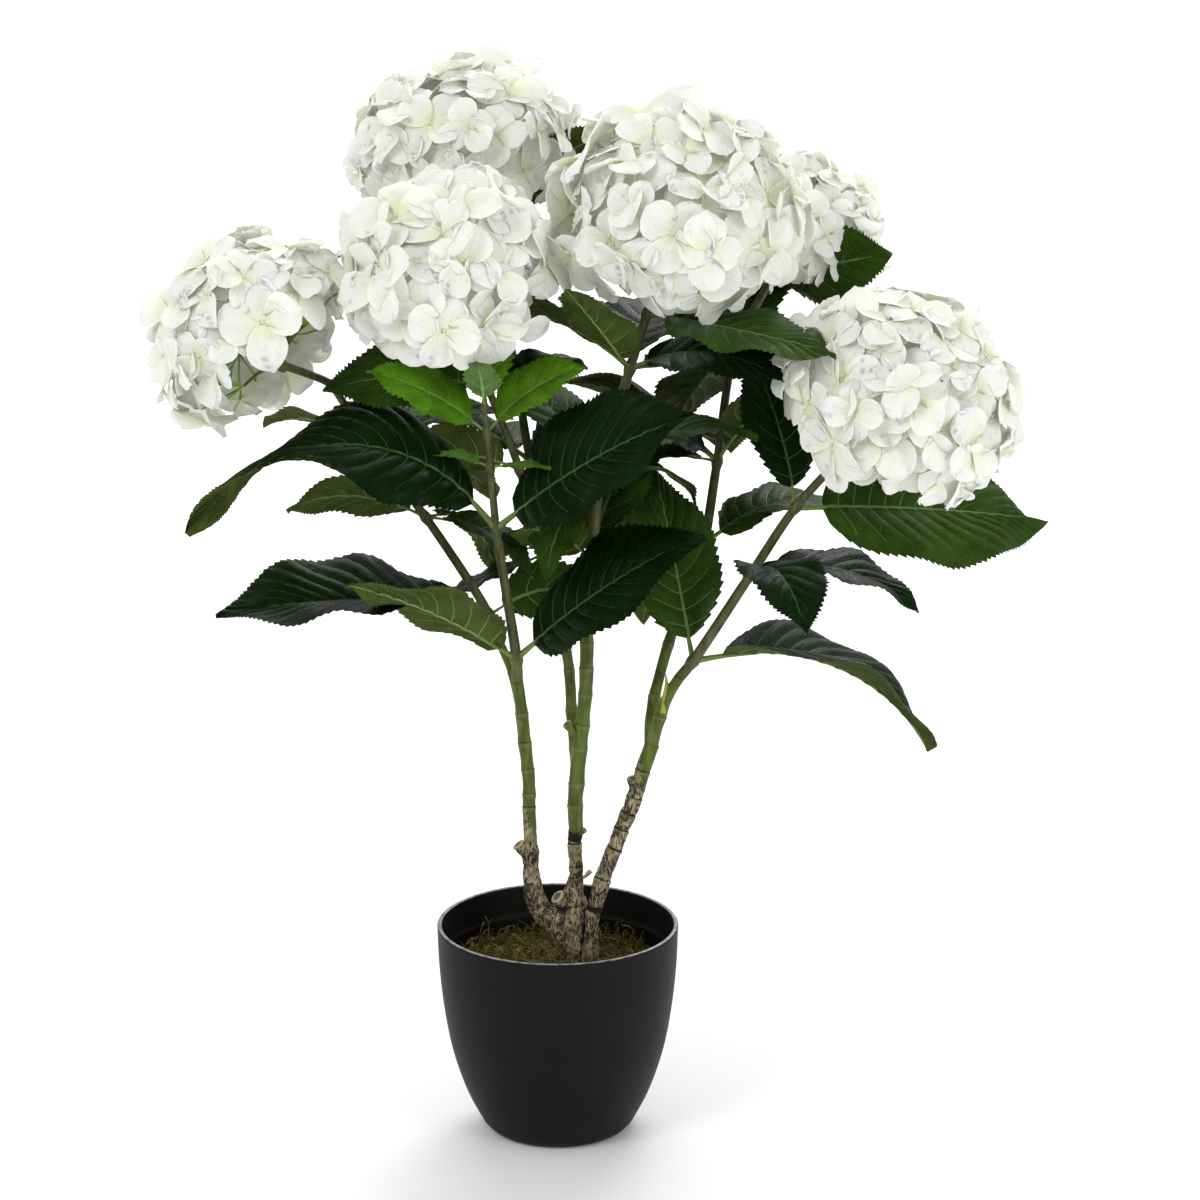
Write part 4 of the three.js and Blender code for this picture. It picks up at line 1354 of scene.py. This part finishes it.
def build_leaves():
    """Each shoot's leaves, with their petioles, as one piece."""
    finishes = leaf_finishes()
    stalk = vein_skin("petiole", (0.15, 0.22, 0.05), 0.42)
    materials = finishes["d"] + finishes["m"] + finishes["y"] + [stalk]
    first_slot = {"d": 0, "m": 4, "y": 8}
    stalk_slot = 12
    for number, (name, shoot) in enumerate(SHOOTS.items()):
        random = draws(number)
        sheaf = Sheaf()
        for leaf in sum(shoot["pairs"], []):
            root = np.array(shoot["path"][leaf["at"]], float)
            start = petiole_end(leaf, root)
            points, faces, slots = leaf_blade(leaf, start, random)
            sheaf.add(points, faces, [slot + first_slot[leaf["tone"]] for slot in slots])
            under, _, normal = blade_frame(leaf, start, np.array([0.0, 0.05, 0.14]))
            sunk = under - normal * [[0.3], [0.8], [0.9]]
            path, _ = smooth_path(np.vstack([root, (root + start) / 2, sunk]), 2.0)
            thick = max(1.0, min(1.9, leaf["long"] / 75))
            sheaf.tube(path, thick * np.linspace(1.25, 0.5, len(path)), 8, stalk_slot)
        mesh = sheaf.mesh(name.replace("shoot", "leaves"), materials)
        flat_sharp(mesh, 62)
        show(mesh, "leaf", name)


PETAL_ROWS = (0.05, 0.24, 0.44, 0.63, 0.8, 0.93, 0.99)
PETAL_COLUMNS = (-1.0, -0.55, 0.0, 0.55, 1.0)
PETAL_THICKNESS = 0.4


def petal_grid(length, width, random):
    """One ruffled petal that lies along +X, as a thin shell, with its zone for each face."""
    u, w = np.array(PETAL_ROWS)[:, None], np.array(PETAL_COLUMNS)[None, :]
    half = width / 2 * np.sin(pi * u**1.3) ** 0.47
    cup = random.uniform(0.05, 0.42)
    roll_back = random.uniform(0.1, 0.48)
    hollow = random.uniform(-0.2, 0.34)
    roll = random.uniform(-0.25, 0.35)
    ruffle = random.uniform(0.03, 0.07) * length
    dent = random.uniform(-0.02, 0.06)
    phases = random.uniform(0, tau, 4)
    x = length * u * (1 - 0.04 * w**2 - dent * (1 - np.abs(w)) ** 2 * u**5)
    y = half * w + random.uniform(-0.1, 0.1) * x * u
    z = length * (cup * u - roll_back * u**2) + hollow * half * w**2 + roll * y * u
    z = z + ruffle * u**1.5 * np.sin(3.6 * w + phases[0])
    z = z + 0.6 * ruffle * np.abs(w) ** 1.5 * np.sin(9 * u + phases[1])
    z = z + 0.25 * np.sin(9 * w + phases[2]) * np.sin(pi * u)
    x = x + 0.02 * length * u * np.sin(6 * w + phases[3])
    top = np.stack([x, y, z], axis=-1)
    rows, columns = top.shape[:2]
    top = top.reshape(-1, 3)
    under = top - (0, 0, PETAL_THICKNESS)
    cells = [(i, j) for i in range(rows - 1) for j in range(columns - 1)]
    corners = ((0, 0), (1, 0), (1, 1), (0, 1))
    faces = [[(i + below) * columns + j + beside for below, beside in corners] for i, j in cells]
    zones = [min(i, 3) for i, _ in cells]
    loop = [i * columns for i in range(rows)] + [(rows - 1) * columns + j for j in range(1, columns)]
    loop += [i * columns + columns - 1 for i in range(rows - 2, -1, -1)] + list(range(columns - 2, 0, -1))
    points, all_faces = thin_shell(top, under, faces, loop)
    across = np.tile(np.broadcast_to(w, (rows, columns)).ravel(), 2)
    return points, all_faces, zones + zones + [3] * len(loop), across


def floret_shape(name, random):
    """Four overlapping petals round a small eye, facing +Z."""
    sheaf = Sheaf()
    zones = []
    length, width = sizes().petal_length / MM, sizes().petal_width / MM
    for k in range(4):
        size = random.uniform(0.86, 1.08)
        wide = width * size * random.uniform(0.92, 1.1)
        points, faces, kinds, across = petal_grid(length * size, wide, random)
        angle = k * pi / 2 + random.uniform(-0.12, 0.12)
        turn = np.array([[cos(angle), -sin(angle), 0], [sin(angle), cos(angle), 0], [0, 0, 1]])
        sheaf.add(points @ turn.T + (0, 0, 0.5 * (k % 2)), faces, across=across)
        zones.extend(kinds)
    eye = rings([(0, 0, -1.0), (0, 0, 0.2), (0, 0, 1.2), (0, 0, 1.8)], [1.0, 1.4, 1.3, 0.6], 6)
    eye_faces = tube_faces(4, 6)
    sheaf.add(eye, eye_faces, across=0.0)
    zones.extend([4] * len(eye_faces))
    mesh = zoned(sheaf.mesh(name, []), zones)
    flat_sharp(mesh, 62)
    return mesh


FLORET_DEPTHS = (1.0, 0.9, 0.96, 0.83)


def floret_places(bloom, random):
    """Centres and normals of a bloom's florets, by the golden angle on shells of four depths."""
    axis = unit(np.array(bloom["axis"], float))
    side = unit(np.cross((0, 1, 0), axis))
    other = np.cross(axis, side)
    lowest = cos(radians(bloom["cover"]))
    surface = tau * bloom["across"] * bloom["along"] * (1 - lowest)
    count = round(surface / (sizes().floret_space * bloom["floret"] ** 2))
    centres, normals = [], []
    for i in range(count):
        high = 1 - (i + 0.5) / count * (1 - lowest)
        flat = (1 - high * high) ** 0.5
        angle = i * GOLDEN_ANGLE + random.uniform(-0.15, 0.15)
        out = side * cos(angle) + other * sin(angle)
        lumps = noise.noise(Vector(out * flat + axis * high) * 2.3 + Vector(bloom["centre"]))
        depth = FLORET_DEPTHS[i % 4] + random.uniform(-0.04, 0.04) + 0.09 * lumps
        sideways, upward = out * flat * bloom["across"] * depth, axis * high * bloom["along"] * depth
        centres.append(np.array(bloom["centre"]) + sideways + upward)
        normals.append(unit(out * flat / bloom["across"] + axis * high / bloom["along"]))
    return np.array(centres), np.array(normals)


def clear_of_stems(centres, reach):
    """True for each centre that no shoot's stem passes within this reach."""
    clear = np.ones(len(centres), bool)
    for shoot in SHOOTS.values():
        path, _ = smooth_path(shoot["path"], 4.0)
        gaps = np.linalg.norm(centres[:, None, :] - path[None, :, :], axis=2)
        clear &= gaps.min(axis=1) > reach
    return clear


def petal_finishes():
    outer, eye = np.array(colours().petal), np.array(colours().petal_eye)
    tints = [tuple(eye + (outer - eye) * share) for share in (0.0, 0.5, 0.8, 1.0)]
    zones = [petal_skin(f"petal_zone_{k}", tint) for k, tint in enumerate(tints)]
    return zones + [vein_skin("floret_eye", (0.70, 0.72, 0.46), 0.6)]


def build_blooms():
    """Six mophead blooms: florets stood on points by nodes, and pedicels from each hub to its florets."""
    random = draws(90)
    store = shape_store("floret_shapes", [floret_shape(f"floret_{k:02d}", random) for k in range(14)])
    scatterer = scatter_tree("Scattered florets", petal_finishes())
    stalks = Sheaf()
    for number, (name, shoot) in enumerate((n, s) for n, s in SHOOTS.items() if "bloom" in s):
        bloom = shoot["bloom"]
        centres, normals = floret_places(bloom, random)
        clear = clear_of_stems(centres, 9.0)
        centres, normals = centres[clear], normals[clear]
        piece = name.replace("shoot", "bloom")
        inputs = {"Shapes": store, "Scale": bloom["floret"], "Scale Spread": 0.24, "Tilt": 0.45}
        inputs["Seed"] = sizes().seed + number
        show(scatter(piece + "_petals", scatterer, centres, normals, inputs), "bloom", piece)
        add_pedicels(stalks, bloom, centres, normals, random)
    empty_store(store)
    finishes = [
        vein_skin("pedicel", (0.30, 0.45, 0.09), 0.5),
        vein_skin("bloom_hub", (0.12, 0.11, 0.035), 0.6),
    ]
    show(stalks.mesh("bloom_pedicels", finishes), "bloom")


def add_pedicels(sheaf, bloom, centres, normals, random):
    """A hub with a few branches, each of which splits to the florets nearest its tip."""
    hub, axis = hub_of(bloom)
    spread, _ = floret_places(bloom, random)
    picks = np.linspace(0, len(spread) - 1, 8).astype(int)
    tips = hub + 0.45 * (spread[picks] - hub)
    for tip in tips:
        middle = hub + 0.5 * (tip - hub) + 2.5 * axis
        path, _ = smooth_path([hub, middle, tip], 4.0)
        sheaf.tube(path, np.linspace(1.4, 0.9, len(path)), 6, 1)
    sheaf.tube([hub + high * axis for high in (-5, -2.5, 1.5, 4)], [2.4, 4.0, 4.0, 1.5], 10, 1)
    for centre, normal in zip(centres, normals):
        tip = tips[np.argmin(np.linalg.norm(tips - centre, axis=1))]
        foot = centre - 0.6 * normal
        middle = tip + 0.5 * (foot - tip) + random.uniform(-2, 2, 3)
        path, _ = smooth_path([tip, middle, foot - 4 * normal, foot], 6.0)
        sheaf.tube(path, np.linspace(0.6, 0.8, len(path)), 5)


# Light panels in metres and watts: name, place, point aimed at, breadth and power.
CROWN_MIDDLE = (0.02, 0.0, 0.38)
PANELS = (
    ("key_panel", (-1.7, -2.0, 2.3), CROWN_MIDDLE, 1.3, 28.0),
    ("fill_panel", (2.3, -1.9, 1.0), CROWN_MIDDLE, 1.3, 22.0),
    ("rear_panel", (0.9, 2.4, 2.2), CROWN_MIDDLE, 1.8, 34.0),
    ("far_panel", (0.0, 6.0, 5.0), (0.0, 7.0, 0.0), 6.0, 420.0),
)
AIR_STRENGTH = 0.74
FLOOR_REACH = 30.0
CAMERA_PLACE = (0.028, -2.349, 0.993)
CAMERA_TILT = radians(75)
CAMERA_LENS = 112.5


def build_studio():
    """A pale floor, soft light from large panels, and the camera."""
    scene = bpy.context.scene
    mesh = bpy.data.meshes.new("floor")
    corners = [(x * FLOOR_REACH, y * FLOOR_REACH, 0) for x, y in ((-1, -1), (1, -1), (1, 1), (-1, 1))]
    mesh.from_pydata(corners, [], [(0, 1, 2, 3)])
    floor = bpy.data.objects.new("floor", mesh)
    paint = Finish("floor_paint", Specular_IOR_Level=0.1, Roughness=0.9)
    paint.colour(paint.blend(paint.cloud(3.0, 2.0), (0.86, 0.86, 0.86), (0.89, 0.89, 0.89)))
    mesh.materials.append(paint.material)
    scene.collection.objects.link(floor)

    world = bpy.data.worlds.new("studio_air")
    world.use_nodes = True
    air = world.node_tree.nodes["Background"].inputs
    air["Color"].default_value = (1.0, 1.0, 1.0, 1.0)
    air["Strength"].default_value = AIR_STRENGTH
    scene.world = world
    for name, place, aim, breadth, power in PANELS:
        light = bpy.data.lights.new(name, "AREA")
        light.shape = "DISK"
        light.size = breadth
        light.energy = power
        lamp = bpy.data.objects.new(name, light)
        lamp.location = place
        lamp.rotation_euler = (Vector(aim) - Vector(place)).to_track_quat("-Z", "Y").to_euler()
        lamp.visible_camera = False
        scene.collection.objects.link(lamp)

    view = bpy.data.cameras.new("view")
    view.sensor_width = 36.0
    view.lens = CAMERA_LENS
    view.clip_end = 200.0
    camera = bpy.data.objects.new("view", view)
    camera.location = CAMERA_PLACE
    camera.rotation_euler = (CAMERA_TILT, 0.0, 0.0)
    scene.collection.objects.link(camera)
    scene.camera = camera
    scene.view_settings.view_transform = "Standard"


# ---- operators, panel and registration ----


def built(operator, build):
    """Run a builder. A failure raises, because a cancelled operator wouldn't stop the script."""
    build()
    operator.report({"INFO"}, operator.bl_label)
    return {"FINISHED"}


class HYDRANGEA_OT_pot(bpy.types.Operator):
    """Turn the pot with its rounded rim and inner ledge"""

    bl_idname = "hydrangea.pot"
    bl_label = "Pot"

    def execute(self, context):
        return built(self, build_pot)


class HYDRANGEA_OT_moss(bpy.types.Operator):
    """Lay the moss bed and scatter its strands"""

    bl_idname = "hydrangea.moss"
    bl_label = "Moss"

    def execute(self, context):
        build_moss_bed()
        return built(self, build_moss_strands)


class HYDRANGEA_OT_trunk(bpy.types.Operator):
    """Melt the knuckled trunk together and carve its bark"""

    bl_idname = "hydrangea.trunk"
    bl_label = "Trunk"

    def execute(self, context):
        return built(self, build_trunk)


class HYDRANGEA_OT_canes(bpy.types.Operator):
    """Draw the jointed canes"""

    bl_idname = "hydrangea.canes"
    bl_label = "Canes"

    def execute(self, context):
        return built(self, build_canes)


class HYDRANGEA_OT_stems(bpy.types.Operator):
    """Draw the shoots' stems and the blooms' stalks"""

    bl_idname = "hydrangea.stems"
    bl_label = "Stems"

    def execute(self, context):
        return built(self, build_stems)


class HYDRANGEA_OT_leaves(bpy.types.Operator):
    """Grow every shoot's leaves"""

    bl_idname = "hydrangea.leaves"
    bl_label = "Leaves"

    def execute(self, context):
        return built(self, build_leaves)


class HYDRANGEA_OT_blooms(bpy.types.Operator):
    """Gather florets and pedicels into the blooms"""

    bl_idname = "hydrangea.blooms"
    bl_label = "Blooms"

    def execute(self, context):
        return built(self, build_blooms)


class HYDRANGEA_OT_studio(bpy.types.Operator):
    """Set up the floor, the lights and the camera"""

    bl_idname = "hydrangea.studio"
    bl_label = "Studio"

    def execute(self, context):
        return built(self, build_studio)


OPERATORS = (
    HYDRANGEA_OT_studio,
    HYDRANGEA_OT_pot,
    HYDRANGEA_OT_moss,
    HYDRANGEA_OT_trunk,
    HYDRANGEA_OT_canes,
    HYDRANGEA_OT_stems,
    HYDRANGEA_OT_leaves,
    HYDRANGEA_OT_blooms,
)


class HYDRANGEA_PT_panel(bpy.types.Panel):
    """Everything that makes the plant"""

    bl_idname = "HYDRANGEA_PT_panel"
    bl_label = "Potted hydrangea"
    bl_space_type = "VIEW_3D"
    bl_region_type = "UI"
    bl_category = "Hydrangea"

    def draw(self, context):
        for group in (context.scene.hydrangea_sizes, context.scene.hydrangea_colours):
            box = self.layout.box()
            for name in group.__annotations__:
                box.prop(group, name)
        for operator in OPERATORS:
            self.layout.operator(operator.bl_idname)


CLASSES = (HydrangeaSizes, HydrangeaColours, *OPERATORS, HYDRANGEA_PT_panel)


def register():
    for kind in CLASSES:
        bpy.utils.register_class(kind)
    bpy.types.Scene.hydrangea_sizes = bpy.props.PointerProperty(type=HydrangeaSizes)
    bpy.types.Scene.hydrangea_colours = bpy.props.PointerProperty(type=HydrangeaColours)


def unregister():
    del bpy.types.Scene.hydrangea_colours
    del bpy.types.Scene.hydrangea_sizes
    for kind in reversed(CLASSES):
        bpy.utils.unregister_class(kind)


def main():
    register()
    for operator in OPERATORS:
        family, name = operator.bl_idname.split(".")
        if getattr(getattr(bpy.ops, family), name)() != {"FINISHED"}:
            raise RuntimeError(operator.bl_label + " wasn't built")


if __name__ == "__main__":
    main()
